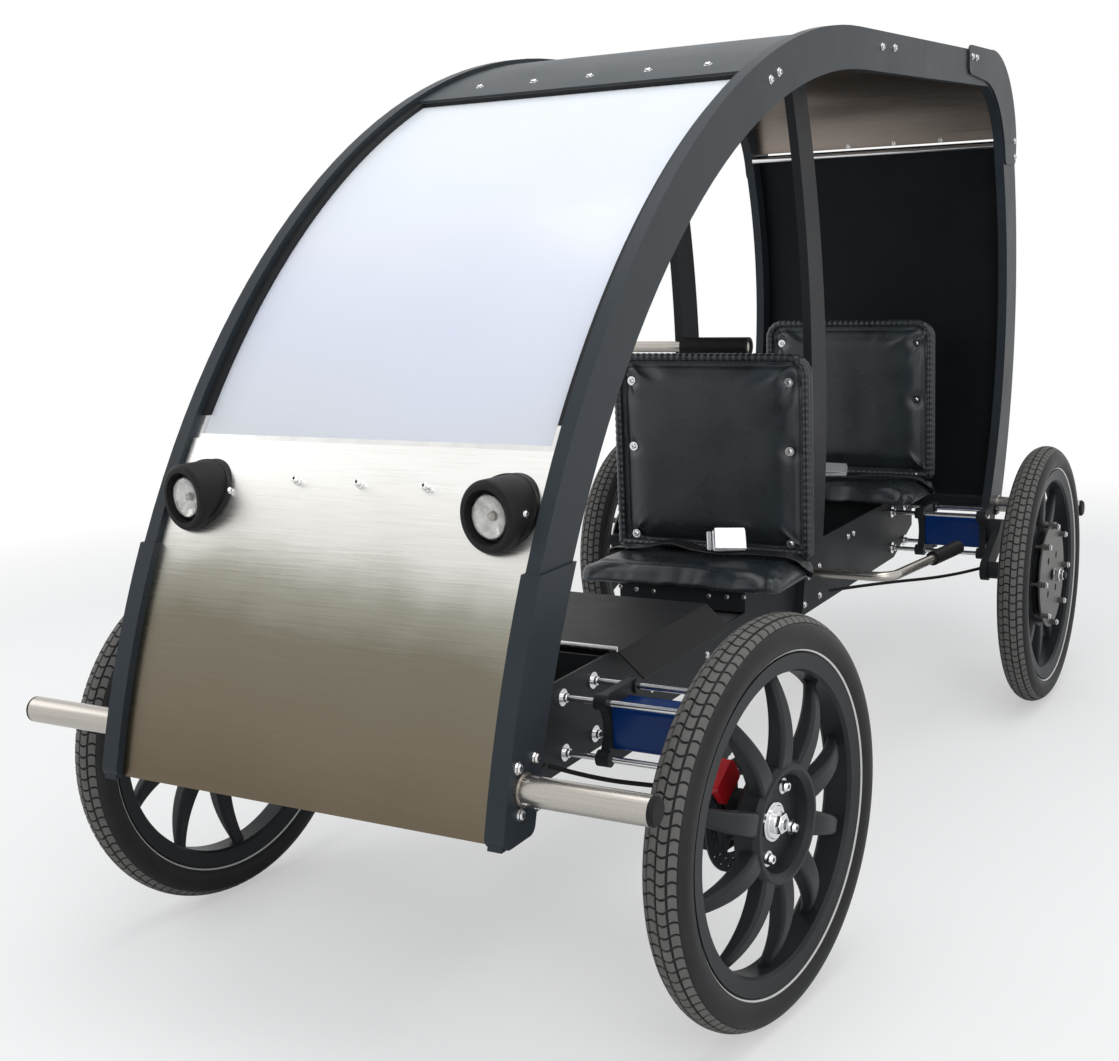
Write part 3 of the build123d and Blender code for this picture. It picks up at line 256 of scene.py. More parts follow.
PAINTS = {
    # finish: material, pale tone, deep tone, roughness from and to, what differs from the recipe
    "anthracite": ("anthracite_powder_coat", (0.026, 0.034, 0.041), (0.014, 0.019, 0.024), (0.34, 0.50),
                   {"grain": 1400.0, "depth": 0.00003, "specular": 0.2}),
    "chassis_black": ("chassis_black_paint", (0.026, 0.028, 0.030), (0.012, 0.013, 0.015), (0.36, 0.56),
                      {"specular": 0.15}),
    "black_rubber": ("black_rubber", (0.014, 0.014, 0.015), (0.006, 0.006, 0.007), (0.45, 0.66),
                     {"grain": 700.0, "depth": 0.00006, "specular": 0.16}),
    "wheel_black": ("moulded_wheel_black", (0.026, 0.029, 0.032), (0.012, 0.013, 0.015), (0.34, 0.5),
                    {"grain": 1100.0, "depth": 0.00005, "specular": 0.2}),
    "panel_black": ("rear_panel_black", (0.010, 0.011, 0.013), (0.004, 0.005, 0.006), (0.30, 0.48),
                    {"specular": 0.1}),
    "blue": ("spring_block_blue", (0.005, 0.044, 0.21), (0.002, 0.022, 0.12), (0.14, 0.28),
             {"depth": 0.000015, "specular": 0.15, "coat": 0.06}),
    "red": ("caliper_red", (0.50, 0.014, 0.020), (0.34, 0.006, 0.012), (0.22, 0.36),
            {"specular": 0.25, "coat": 0.1}),
    "battery_grey": ("battery_case_grey", (0.11, 0.11, 0.115), (0.075, 0.075, 0.08), (0.45, 0.6), {}),
    "steel_dark": ("dark_sheet_steel", (0.038, 0.050, 0.058), (0.024, 0.032, 0.037), (0.34, 0.50),
                   {"specular": 0.2}),
    "motor_grey": ("motor_cover_grey", (0.150, 0.146, 0.138), (0.080, 0.078, 0.073), (0.32, 0.5),
                   {"metallic": 0.5, "blotch": 18.0, "specular": 0.2}),
}
finishes = {key: mixed_finish(*row[:-1], **row[-1]) for key, row in PAINTS.items()}
print("mixed finishes:", ", ".join(sorted(finishes)))

# %% [markdown]
# Brushed steel is a noise that is stretched along the brush strokes. On the nose panel the strokes run across
# the vehicle, so the noise is squeezed hard along Y and Z and left long along X. The nose steel also gets a
# painted reflection of what it faces: bright near its upper edge where it leans back, a warm brown lower down.

# %% Brushed steel, bright metal and the panels
BAND_TILT, BAND_WAVE, BAND_FRAY, BAND_SHIFT = 0.05, 0.11, 0.05, 0.08


def brushed_finish(name, pale, deep, strokes, rough=(0.24, 0.40), bands=None):
    """Steel with strokes along the long axis of the stretch; bands multiply a painted reflection in by height,
    bottom to top.
    """
    material, tree, place = shader_sheet(name)
    stretched = put(tree, "Mapping", {"Vector": place, "Scale": strokes}), 0
    streak = cloud(tree, stretched, 9.0, 6.0, 0.7)
    tone = tones(tree, streak, deep, pale)
    if bands:
        low, high = bands[0][0], bands[-1][0]
        spot = put(tree, "SeparateXYZ", {0: place})
        level = math(tree, "MULTIPLY_ADD", (spot, "X"), BAND_TILT, (spot, "Z"))
        level = math(tree, "MULTIPLY_ADD", cloud(tree, place, 3.5, 3.0), BAND_WAVE, level)
        level = math(tree, "MULTIPLY_ADD", streak, BAND_FRAY, level)
        # painted reflection: a ramp by height, bright near the upper edge and brown lower down, multiplies the
        # steel's colour
        painted_reflection = ramp(tree, ranged(tree, level, low + BAND_SHIFT, high + BAND_SHIFT),
                    [((height - low) / (high - low), colour) for height, colour in bands])
        tone = put(tree, "Mix", {0: 1.0, 6: tone, 7: painted_reflection}, data_type="RGBA", blend_type="MULTIPLY"), 2
    shine = ranged(tree, streak, 0.3, 0.7, *rough)
    close_sheet(tree, principled(tree, tone, shine, bump(tree, streak, 0.25, 0.00008), {"Metallic": 1.0}))
    return material


ACROSS, EVEN = (1.0, 60.0, 60.0), (8.0, 8.0, 8.0)
# painted reflection on the nose steel by height: a warm brown low down, near white at the upper edge
NOSE_REFLECTION_BANDS = ((0.41, (0.150, 0.124, 0.088)), (0.52, (0.185, 0.160, 0.118)), (0.64, (0.200, 0.186, 0.144)),
              (0.70, (0.340, 0.330, 0.285)), (0.76, (0.74, 0.735, 0.71)), (0.88, (0.93, 0.935, 0.925)))
STEELS = {
    "panel_steel": brushed_finish("brushed_nose_steel", (1.0, 0.99, 0.97), (0.86, 0.85, 0.83), ACROSS,
                                  bands=NOSE_REFLECTION_BANDS),
    "upper_steel": brushed_finish("brushed_rear_steel", (0.36, 0.31, 0.27), (0.20, 0.168, 0.146), ACROSS),
    "tube_steel": brushed_finish("brushed_tube_steel", (0.56, 0.53, 0.49), (0.36, 0.335, 0.30), ACROSS,
                                 rough=(0.2, 0.34)),
    "bright": brushed_finish("bright_plated_steel", (0.86, 0.86, 0.87), (0.70, 0.70, 0.71), EVEN,
                             rough=(0.10, 0.2)),
}
finishes.update(STEELS)
print("metal finishes:", ", ".join(STEELS))

# %% [markdown]
# The windscreen is a pale, almost opaque sheet that mirrors the sky, so it is a glossy plastic with only a
# little light through it. A slow gradient by height paints the sky's reflection over the sheet's own faint lilac
# tint: a cool white at the top, the lilac in the middle and a painted grey shade at its lower edge. The lamp glass
# is clear.

# %% Windscreen and lamp glass
# the sheet's lilac tint with a painted reflection by height: a grey shade at the lower edge, cool white at the top
SCREEN_TINT_AND_REFLECTION = ((0.0, (0.72, 0.75, 0.79)), (0.35, (0.75, 0.78, 0.90)), (0.65, (0.80, 0.83, 0.92)),
                (1.0, (0.84, 0.89, 0.93)))
SCREEN_LOW, SCREEN_HIGH = 1.15, 1.75
finishes["screen"], tree, place = shader_sheet("pale_windscreen")
slow = cloud(tree, place, 1.6, 3.0)
level = math(tree, "MULTIPLY_ADD", slow, 0.5, (put(tree, "SeparateXYZ", {0: place}), "Z"))
# painted reflection by height: whiter towards the top and a grey shade at the lower edge, over the lilac tint
tone = ramp(tree, ranged(tree, level, SCREEN_LOW, SCREEN_HIGH), SCREEN_TINT_AND_REFLECTION)
close_sheet(tree, principled(tree, tone, 0.28, bump(tree, slow, 0.1, 0.002), {
    "Transmission Weight": 0.18, "Specular IOR Level": 0.4, "Coat Weight": 0.15}))

finishes["lens"], tree, place = shader_sheet("lamp_glass")
flutes = put(tree, "TexVoronoi", {"Vector": place, "Scale": 260.0}), 0
close_sheet(tree, principled(tree, (0.95, 0.97, 0.98, 1), 0.03, bump(tree, flutes, 0.25, 0.0006), {
    "IOR": 1.45, "Transmission Weight": 0.96}))
print("glass finishes ready")

# %% [markdown]
# Leather on the seats is the glossiest black on the vehicle. A small cell pattern gives it its grain, a slower
# noise gives it creases, and a thin coat over a low roughness lets it pick up the sky.

# %% Seat leather
finishes["vinyl"], tree, place = shader_sheet("black_seat_leather")
warp = cloud(tree, place, 14.0, 4.0)
cells = put(tree, "TexVoronoi", {"Vector": place, "Scale": 620.0}, feature="DISTANCE_TO_EDGE"), 0
crease = math(tree, "MULTIPLY_ADD", warp, 2.2, cells)
tone = tones(tree, warp, (0.008, 0.010, 0.012), (0.030, 0.040, 0.047))
close_sheet(tree, principled(
    tree, tone, ranged(tree, warp, 0.3, 0.7, 0.22, 0.36), bump(tree, crease, 0.35, 0.0006),
    {"Specular IOR Level": 0.42, "Coat Weight": 0.12, "Coat Roughness": 0.2}))
print("leather ready")

# %% [markdown]
# Two nodes need two finishes each, parted by place. The seal round the windscreen is black rubber, but its lower
# edge is the folded bright edge of the nose panel. The floor tray is a ribbed black mat whose front edge is a
# bright round bar. A step on one coordinate chooses between the two shaders.


# %% Finishes that change at a place
def parted_finish(name, axis, level, below, above, ribs=0.0):
    """One shader below a level of an axis and another above it; each is (pale, deep, roughness, metallic)."""
    material, tree, place = shader_sheet(name)
    side = math(tree, "GREATER_THAN", (put(tree, "SeparateXYZ", {0: place}), axis), level)
    slow = cloud(tree, place, 26.0, 5.0)
    wave = put(tree, "TexWave", {"Vector": place, "Scale": 48.0}, bands_direction="Y"), 0
    lift = bump(tree, math(tree, "MULTIPLY_ADD", wave, ribs, slow), 0.3, 0.0006)
    shaders = [principled(
        tree, tones(tree, slow, deep, pale), ranged(tree, slow, 0.0, 1.0, rough - 0.08, rough + 0.08), lift,
        {"Metallic": metallic, "Specular IOR Level": 0.16}) for pale, deep, rough, metallic in (below, above)]
    close_sheet(tree, put(tree, "MixShader", {0: side, 1: (shaders[0], 0), 2: (shaders[1], 0)}))
    return material


BRIGHT_EDGE = ((0.86, 0.86, 0.85), (0.70, 0.70, 0.69), 0.24, 1.0)
SOFT_BLACK = ((0.020, 0.021, 0.022), (0.008, 0.008, 0.009), 0.5, 0.0)
SEAL_EDGE_Z, TRAY_BAR_Y = 0.945, -0.6582
finishes["screen_seal"] = parted_finish("screen_seal_and_edge", "Z", SEAL_EDGE_Z, BRIGHT_EDGE, SOFT_BLACK)
finishes["tray_mat"] = parted_finish("tray_mat_and_bar", "Y", TRAY_BAR_Y, BRIGHT_EDGE, SOFT_BLACK, ribs=2.0)
print("parted finishes: screen_seal, tray_mat")

# %% [markdown]
# Each solid arrives with a slot that is named after its finish. Five nodes take another finish than their slot
# says, because the photograph shows them in a tone of their own.

# %% Give every CAD node its finish
FINISH_OF = {"rear_upper_panel": "upper_steel", "roof_panel": "steel_dark", "rear_panel": "panel_black",
             "screen_seal": "screen_seal", "floor_tray": "tray_mat"}
for name, node in nodes.items():
    slot = node.material_slots[0].material.name.split(".")[0]
    finish = finishes.get(FINISH_OF.get(name, slot), finishes["black_rubber"])
    for material_slot in node.material_slots:
        material_slot.material = finish
print("finished nodes:", len(nodes))

# %% [markdown]
# The four wheels share one drawing: a wheel is drawn round its own axle, with its outer side towards +Z, and
# a matrix then carries it to its corner. The front pair is parked turned a little to the right, about the
# two king pins, so the matrix of a front wheel holds that turn too.

# %% Where the four wheels stand
TYRE_R, WHEEL_X, KING_X = 0.320, 0.562, 0.455
AXLE_Y = {"front": -0.920, "rear": 0.861}
PARKED_TURN = radians(-6.5)
SIDES = (("left", 1), ("right", -1))


def wheel_matrix(end, side):
    """Carries a wheel drawn round Z to its corner, outer side outward."""
    turn = PARKED_TURN if end == "front" else 0.0
    outward = Vector((side * cos(turn), side * sin(turn), 0))
    pivot_x = KING_X if end == "front" else WHEEL_X
    centre = Vector((side * pivot_x, AXLE_Y[end], TYRE_R)) + outward * (WHEEL_X - pivot_x)
    return axes_matrix(Vector((0, 0, 1)).cross(outward), (0, 0, 1), outward, centre)


CORNERS = [
    # end, corner, matrix, the body that rolls, the body that carries the axle
    (end, f"{end}_{hand}", wheel_matrix(end, side), f"wheel_{end}_{hand}",
     f"steer_{hand}" if end == "front" else "chassis")
    for end in AXLE_Y for hand, side in SIDES
]
print("wheels at", [[round(c, 3) for c in corner[2].translation] for corner in CORNERS])

# %% [markdown]
# The tyre's body is turned on a lathe: a profile of radius and width, spun round the axle. The crown is drawn
# three millimetres low, because the tread blocks stand on it, and one narrow band of the side wall gets the
# pale reflective stripe. The profile's arcs are the ones that the solid has.


# %% Turn the tyre's body
def arc_through(a, b, c, steps):
    """Points on the circle through three points, from a to c."""
    (ax, ay), (bx, by), (cx, cy) = a, b, c
    d = 2 * (ax * (by - cy) + bx * (cy - ay) + cx * (ay - by))
    ux = ((ax**2 + ay**2) * (by - cy) + (bx**2 + by**2) * (cy - ay) + (cx**2 + cy**2) * (ay - by)) / d
    uy = ((ax**2 + ay**2) * (cx - bx) + (bx**2 + by**2) * (ax - cx) + (cx**2 + cy**2) * (bx - ax)) / d
    start, middle, end = (atan2(y - uy, x - ux) for x, y in (a, b, c))
    sweep = (end - start) % tau
    if (middle - start) % tau > sweep:
        sweep -= tau
    radius = hypot(ax - ux, ay - uy)
    return [(ux + radius * cos(start + sweep * i / steps), uy + radius * sin(start + sweep * i / steps))
            for i in range(steps + 1)]


def shade(mesh, smooth=True):
    mesh.polygons.foreach_set("use_smooth", [smooth] * len(mesh.polygons))


def mesh_of(shape, name):
    """Turns an edit mesh into a plain one."""
    mesh = bpy.data.meshes.new(name)
    shape.to_mesh(mesh)
    shape.free()
    return mesh


def square_up(mesh, merge=0.0):
    """Joins corners that lie together, if asked, and turns all faces outward."""
    shape = bmesh.new()
    shape.from_mesh(mesh)
    if merge:
        bmesh.ops.remove_doubles(shape, verts=shape.verts, dist=merge)
    bmesh.ops.recalc_face_normals(shape, faces=shape.faces)
    shape.to_mesh(mesh)
    shape.free()


def turned_mesh(name, profile, segments, closed=True, paint=None):
    """Spins (radius, height) points round Z. paint(radius, height) gives a face's material number."""
    rows = len(profile)
    points = [(r * cos(tau * k / segments), r * sin(tau * k / segments), h)
              for k in range(segments) for r, h in profile]
    faces, paints = [], []
    for k in range(segments):
        here, there = k * rows, (k + 1) % segments * rows
        for i in range(rows if closed else rows - 1):
            j = (i + 1) % rows
            faces.append((here + i, there + i, there + j, here + j))
            middle = [(profile[i][n] + profile[j][n]) / 2 for n in (0, 1)]
            paints.append(paint(*middle) if paint else 0)
    mesh = bpy.data.meshes.new(name)
    mesh.from_pydata(points, [], faces)
    mesh.polygons.foreach_set("material_index", paints)
    shade(mesh)
    square_up(mesh, merge=1e-6)
    return mesh


CROWN_R, TREAD_H = 0.0364, 0.0030
CROWN_HALF_DEG, CROWN_STEPS, TYRE_SEGMENTS = 46, 14, 180
STRIPE_FROM, STRIPE_TO = 0.2635, 0.2668
side_wall = arc_through((0.262, 0.025), (0.28675, 0.036), (0.308, 0.027), 16)
crown_angles = [radians(CROWN_HALF_DEG - 2 * CROWN_HALF_DEG * i / CROWN_STEPS) for i in range(CROWN_STEPS + 1)]
crown = [(TYRE_R - CROWN_R + (CROWN_R - TREAD_H) * cos(a), (CROWN_R - TREAD_H) * sin(a)) for a in crown_angles]
half = [(0.2535, 0.022), (0.2585, 0.0262)] + side_wall[:-1]
tyre_profile = half + crown + [(r, -u) for r, u in reversed(half)]
tyre_mesh = turned_mesh("tyre_body", tyre_profile, TYRE_SEGMENTS,
                        paint=lambda r, u: int(STRIPE_FROM < r < STRIPE_TO and abs(u) > 0.02))
print("tyre body:", len(tyre_mesh.polygons), "faces")

# %% [markdown]
# The tread is bricks in four columns, with rows that wave up and down across the tyre. The rule is easiest flat,
# so a geometry tree lays the bricks on a flat strip as long as the tyre is round, and only then rolls the strip
# up: the distance along the strip becomes an angle round the axle, the distance across it an angle round
# the crown. The tree's inputs are the sizes that a tyre maker would quote.


# %% Helpers that make and run a geometry tree
def geometry_tree(name, **sizes):
    """An empty tree with named inputs, listed by kind; returns the tree, its input node and its maths."""
    tree = bpy.data.node_groups.new(name, "GeometryNodeTree")
    tree.interface.new_socket("Geometry", in_out="INPUT", socket_type="NodeSocketGeometry")
    for kind, labels in sizes.items():
        for label in labels:
            tree.interface.new_socket(label, in_out="INPUT", socket_type=f"NodeSocket{kind}")
    tree.interface.new_socket("Geometry", in_out="OUTPUT", socket_type="NodeSocketGeometry")
    return tree, put(tree, "NodeGroupInput"), partial(math, tree)


def painted(tree, shape, finish):
    return put(tree, "SetMaterial", {"Geometry": (shape, 0), "Material": finish})


def joined(tree, *shapes):
    whole = put(tree, "JoinGeometry")
    for shape in shapes:
        tree.links.new(shape.outputs[0], whole.inputs[0])
    return whole


def realized(tree, shape):
    return put(tree, "RealizeInstances", {"Geometry": (shape, 0)})


def close_tree(tree, shape):
    tree.links.new(shape.outputs[0], put(tree, "NodeGroupOutput").inputs[0])


def harvest(carrier, modifier, **options):
    """The carrier's evaluated shape as a plain mesh; the carrier and its modifier are removed."""
    ready = bpy.context.evaluated_depsgraph_get()
    mesh = bpy.data.meshes.new_from_object(carrier.evaluated_get(ready), depsgraph=ready, **options)
    carrier.modifiers.remove(modifier)
    bpy.data.objects.remove(carrier)
    return mesh


def run_tree(tree, name, values, start=None):
    """Evaluates the tree on a mesh and returns the result as a plain mesh."""
    carrier = add_object(name, start or bpy.data.meshes.new(name))
    modifier = carrier.modifiers.new("tree", "NODES")
    modifier.node_group = tree
    for item in tree.interface.items_tree:
        if item.in_out == "INPUT" and item.name in values:
            modifier[item.identifier] = values[item.name]
    mesh = harvest(carrier, modifier, preserve_all_data_layers=True)
    mesh.name = name
    return mesh


def place_piece(name, mesh, body, matrix=None):
    """Puts a finished mesh into the scene as a piece that rides on a body."""
    if matrix:
        mesh.transform(matrix)
    piece = add_object(name, mesh)
    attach(piece, body)
    return piece


print("tree helpers ready")

# %% The tread tree
tread, given, calc = geometry_tree(
    "rolled_tread", Int=("Rows", "Columns"), Material=("Finish",),
    Float=("Width", "Tyre radius", "Crown radius", "Groove", "Height", "Scallop"))
tyre_r, crown_r = (given, "Tyre radius"), (given, "Crown radius")
length = calc("MULTIPLY", tyre_r, tau)
pitch = calc("DIVIDE", length, (given, "Rows"))
lane = calc("DIVIDE", (given, "Width"), (given, "Columns"))
brick = put(tread, "MeshGrid", {
    "Size X": calc("SUBTRACT", lane, (given, "Groove")), "Size Y": calc("SUBTRACT", pitch, (given, "Groove")),
    "Vertices X": 6, "Vertices Y": 3})
up = put(tread, "CombineXYZ", {"Z": (given, "Height")})
raised = put(tread, "ExtrudeMesh", {
    "Mesh": (brick, 0), "Offset": (up, 0), "Offset Scale": 1.0, "Individual": False})
spots = put(tread, "MeshGrid", {
    "Size X": calc("MULTIPLY", lane, calc("SUBTRACT", (given, "Columns"), 1.0)),
    "Size Y": calc("SUBTRACT", length, pitch),
    "Vertices X": (given, "Columns"), "Vertices Y": (given, "Rows")})
laid = put(tread, "InstanceOnPoints", {"Points": (spots, 0), "Instance": (raised, 0)})
flat = realized(tread, laid)
strip = put(tread, "SeparateXYZ", {0: (put(tread, "InputPosition"), 0)})
lean = calc("DIVIDE", (strip, "X"), crown_r)
swing = calc("DIVIDE", calc("MULTIPLY", (strip, "X"), tau / 2), lane)
turn = calc("DIVIDE", calc("MULTIPLY_ADD", calc("SINE", swing), (given, "Scallop"), (strip, "Y")), tyre_r)
level = calc("ADD", calc("SUBTRACT", crown_r, (given, "Height")), (strip, "Z"))
radius = calc("MULTIPLY_ADD", level, calc("COSINE", lean), calc("SUBTRACT", tyre_r, crown_r))
rolled = put(tread, "CombineXYZ", {
    "X": calc("MULTIPLY", radius, calc("COSINE", turn)),
    "Y": calc("MULTIPLY", radius, calc("SINE", turn)),
    "Z": calc("MULTIPLY", level, calc("SINE", lean))})
wrapped = put(tread, "SetPosition", {"Geometry": (flat, 0), "Position": (rolled, 0)})
close_tree(tread, painted(tread, realized(tread, wrapped), (given, "Finish")))
print("tread tree:", len(tread.nodes), "nodes")

# %% [markdown]
# Tyre rubber is nearly black in the grooves and on the side wall, but the top of each brick is scuffed to a
# dusty grey. The stripe is a pale band. Each tyre is one piece that stands for its CAD solid: the turned body,
# its stripe and its bricks in one mesh.

# %% Rubber finishes and the four tyres
side_rubber = mixed_finish("tyre_side_rubber", (0.030, 0.030, 0.031), (0.016, 0.016, 0.017), (0.40, 0.56),
                           blotch=20.0, specular=0.16)
stripe_white = mixed_finish("reflective_stripe", (0.72, 0.72, 0.70), (0.52, 0.52, 0.50), (0.25, 0.4), blotch=60.0)
brick_rubber = mixed_finish("scuffed_tread", (0.165, 0.160, 0.152), (0.085, 0.082, 0.078), (0.55, 0.75),
                            blotch=45.0, specular=0.2)
RUBBERS = (side_rubber, stripe_white, brick_rubber)

tread_mesh = run_tree(tread, "tread_bricks", {
    "Rows": 100, "Columns": 4, "Width": 0.066, "Tyre radius": TYRE_R, "Crown radius": CROWN_R, "Groove": 0.0040,
    "Height": TREAD_H, "Scallop": 0.0036, "Finish": brick_rubber})
for _, corner, matrix, body, _ in CORNERS:
    shape = bmesh.new()
    shape.from_mesh(tyre_mesh)
    count = len(shape.faces)
    shape.from_mesh(tread_mesh)
    shape.faces.ensure_lookup_table()
    for face in shape.faces[count:]:
        face.material_index = RUBBERS.index(brick_rubber)
    mesh = mesh_of(shape, f"tyre_{corner}_rubber")
    for finish in RUBBERS:
        mesh.materials.append(finish)
    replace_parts(place_piece(mesh.name, mesh, body, matrix), f"tyre_{corner}")
print("tyre:", len(mesh.polygons), "faces each, of them", len(tread_mesh.polygons), "on the bricks")

# %% [markdown]
# Bolts, screws and rivets are everywhere on this vehicle, and all of them are one idea: a washer, a head with a
# bevelled rim and a dark disc of painted shade for its socket, stood on a point and turned to face out of the
# surface. A geometry tree makes that once and puts it on every point. The points are found by shooting a ray at
# the CAD solid that carries the bolt, so a head always sits on its plate, whatever side it is seen from.


# %% Find a seat for a bolt
@cache
def solid_tree(name):
    """A search tree over a CAD node's triangles."""
    mesh = nodes[name].data
    return BVHTree.FromPolygons([v.co for v in mesh.vertices], [p.vertices[:] for p in mesh.polygons])


def land(node, start, way):
    """Where a ray meets a node, and which way the surface faces there; None if it misses."""
    spot, normal, _, _ = solid_tree(node).ray_cast(Vector(start), Vector(way).normalized())
    if spot is None:
        print("no seat on", node, "from", start)
        return None
    return spot, (-normal if normal.dot(Vector(way)) > 0 else normal)


print("seats can be found on", len(nodes), "nodes")

# %% The bolt tree
bolts, given, calc = geometry_tree(
    "bolts_on_points", Int=("Sides",), Material=("Finish", "Socket shade"),
    Float=("Washer radius", "Washer height", "Head radius", "Head height"))
SKIRT_SHARE, RIM_SHARE, SOCKET_SHARE, SOCKET_RISE = 0.6, 0.72, 0.42, 0.00015
sides, head_r, washer_h = (given, "Sides"), (given, "Head radius"), (given, "Washer height")


def lifted(shape, height):
    rise = put(bolts, "CombineXYZ", {"Z": height})
    return put(bolts, "Transform", {"Geometry": (shape, 0), "Translation": (rise, 0)})


def standing(bottom, height, vertices, radius):
    """A round or many-sided post that stands at a height."""
    post = put(bolts, "MeshCylinder", {"Vertices": vertices, "Radius": radius, "Depth": height})
    return lifted(post, calc("MULTIPLY_ADD", height, 0.5, bottom))


skirt_h = calc("MULTIPLY", (given, "Head height"), SKIRT_SHARE)
rim_h = calc("MULTIPLY", (given, "Head height"), 1 - SKIRT_SHARE)
rim_z = calc("ADD", washer_h, skirt_h)
washer = standing(0.0, washer_h, 20, (given, "Washer radius"))
skirt = standing(washer_h, skirt_h, sides, head_r)
rim = lifted(put(bolts, "MeshCone", {
    "Vertices": sides, "Radius Bottom": head_r, "Radius Top": calc("MULTIPLY", head_r, RIM_SHARE),
    "Depth": rim_h}), rim_z)
# the socket is a dark disc standing just proud of the rim: painted shade in place of a recess
socket = standing(calc("ADD", rim_z, SOCKET_RISE), rim_h, 6, calc("MULTIPLY", head_r, SOCKET_SHARE))
bright_part = painted(bolts, joined(bolts, washer, skirt, rim), (given, "Finish"))
whole = joined(bolts, bright_part, painted(bolts, socket, (given, "Socket shade")))
facing = put(bolts, "InputNamedAttribute", {"Name": "facing"}, data_type="FLOAT_VECTOR")
turned = put(bolts, "AlignRotationToVector", {"Vector": (facing, 0)}, axis="Z")
stood = put(bolts, "InstanceOnPoints", {
    "Points": (given, "Geometry"), "Instance": (whole, 0), "Rotation": (turned, 0)})
close_tree(bolts, realized(bolts, stood))
print("bolt tree:", len(bolts.nodes), "nodes")

# %% Helpers that set a row of bolts
# painted shade: the dark finish of the bolt sockets and the jet bores
socket_shade = mixed_finish("socket_shadow", (0.05, 0.05, 0.05), (0.02, 0.02, 0.02), (0.4, 0.6))
BOLT_KINDS = {
    # washer radius, washer height, head radius, head height, sides
    "dome": (0.0080, 0.0012, 0.0058, 0.0042, 20),
    "small": (0.0055, 0.0008, 0.0042, 0.0030, 18),
    "rivet": (0.0042, 0.0004, 0.0036, 0.0020, 16),
    "hex": (0.0090, 0.0014, 0.0072, 0.0052, 6),
    "cup": (0.0110, 0.0022, 0.0060, 0.0045, 20),
    "hub": (0.0125, 0.0050, 0.0088, 0.0095, 20),
}
made_bolts = {}


def points_mesh(name, seats):
    """Vertices with the way they face as an attribute, for the bolt tree to read."""
    mesh = bpy.data.meshes.new(name)
    mesh.from_pydata([tuple(spot) for spot, _ in seats], [], [])
    facing = mesh.attributes.new("facing", "FLOAT_VECTOR", "POINT")
    facing.data.foreach_set("vector", [c for _, way in seats for c in way])
    return mesh


def set_bolts(name, body, kind, seats, scale=1.0):
    """One bright piece that holds a whole row of bolts."""
    seats = [seat for seat in seats if seat]
    washer_r, washer_h, head_r, head_h, sides = BOLT_KINDS[kind]
    mesh = run_tree(bolts, name, {
        "Washer radius": washer_r * scale, "Washer height": washer_h * scale, "Head radius": head_r * scale,
        "Head height": head_h * scale, "Sides": sides, "Finish": finishes["bright"], "Socket shade": socket_shade,
    }, points_mesh(name, seats))
    made_bolts[name] = len(seats)
    place_piece(name, mesh, body)


print("bolt kinds:", ", ".join(BOLT_KINDS))

# %% [markdown]
# The tables below give each row's place as it was read from the photograph: five screws along the front edge of
# the roof, pairs on the outside of the arches, four round each tube stub, four at the foot of each pillar,
# and rivets in the plates under the seats. Rows on the flanks are set on both sides.

# %% Bolts on the body
FRONT_Y = AXLE_Y["front"]
ROOF_ROW, ROOF_Y, ABOVE, BESIDE = (-0.236, -0.115, 0.006, 0.127, 0.246), FRONT_Y + 0.530, 1.9, 0.7
FLANK_ROWS = (
    # row, node without its side, kind, places as (y, z)
    ("arch_bolts", "arch", "dome", (
        (FRONT_Y + 0.525, 1.459), (FRONT_Y + 0.564, 1.474), (FRONT_Y + 1.138, 1.561), (FRONT_Y + 1.220, 1.565))),
    ("stub_bolts", "arch", "hex", ((-1.338, 0.512), (-1.292, 0.512), (-1.338, 0.446), (-1.292, 0.444))),
    ("pillar_bolts", "pillars", "dome", (
        (FRONT_Y + 1.195, 0.410), (FRONT_Y + 1.262, 0.420), (FRONT_Y + 1.262, 0.350), (FRONT_Y + 1.165, 0.350))),
    ("front_plate_rivets", "seat_supports", "rivet", ((0.010, 0.432), (0.040, 0.430), (0.072, 0.432))),
    ("rear_plate_rivets", "seat_supports", "rivet", ((0.925, 0.4752), (0.960, 0.4752), (0.995, 0.4752))),
    ("rail_bolts", "chassis", "dome", (
        (0.330, 0.430), (0.330, 0.360), (0.600, 0.440), (0.640, 0.440), (-0.250, 0.36), (-0.500, 0.36))),
)
low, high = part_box("rear_brackets")
BRACKET_ROW = ("bracket_bolts", "rear_brackets", "dome", (
    (low.y + 0.022, high.z - 0.030), (low.y + 0.060, high.z - 0.030),
    (high.y - 0.020, low.z + 0.020), (high.y - 0.024, low.z + 0.062)))
set_bolts("roof_screws", "chassis", "dome", [land("roof_panel", (x, ROOF_Y, ABOVE), (0, 0, -1)) for x in ROOF_ROW])
for row, node, kind, places in (*FLANK_ROWS, BRACKET_ROW):
    set_bolts(row, "chassis", kind, [
        land(f"arch_{hand}" if node == "arch" else node, (side * BESIDE, y, z), (-side, 0, 0))
        for hand, side in SIDES for y, z in places])
print("bolts:", made_bolts)

# %% [markdown]
# Each front wheel is held by four bright bolts deep in its dish, and its axle ends in a stack of washers with a
# nut. The bolts turn with the wheel, while the nut belongs to the axle and so to the steering. The motors at
# the rear get the axle's nut and a bright nut on the end of each long cover bolt, which is part of the solid.

# %% Wheel bolts and axle nuts
NUT_STACKS = {
    # radius, from, to, sides; heights along the axle from the wheel's middle
    "front": ((0.031, 0.0085, 0.0115, 40), (0.026, 0.0115, 0.0150, 40), (0.0175, 0.0150, 0.0200, 32),
              (0.0165, 0.0200, 0.0275, 6), (0.0105, 0.0275, 0.0300, 24)),
    "rear": ((0.0150, 0.0340, 0.0370, 32), (0.0165, 0.0370, 0.0480, 6), (0.0120, 0.0480, 0.0560, 24)),
}
WHEEL_BOLTS = {
    # row, kind, bolt circle, height along the axle, first angle, count, scale
    "front": ("hub_bolts", "hub", 0.056, 0.008, 63, 4, 1.0),
    "rear": ("cover_nuts", "hex", 0.122, 0.0400, 0, 8, 0.85),
}


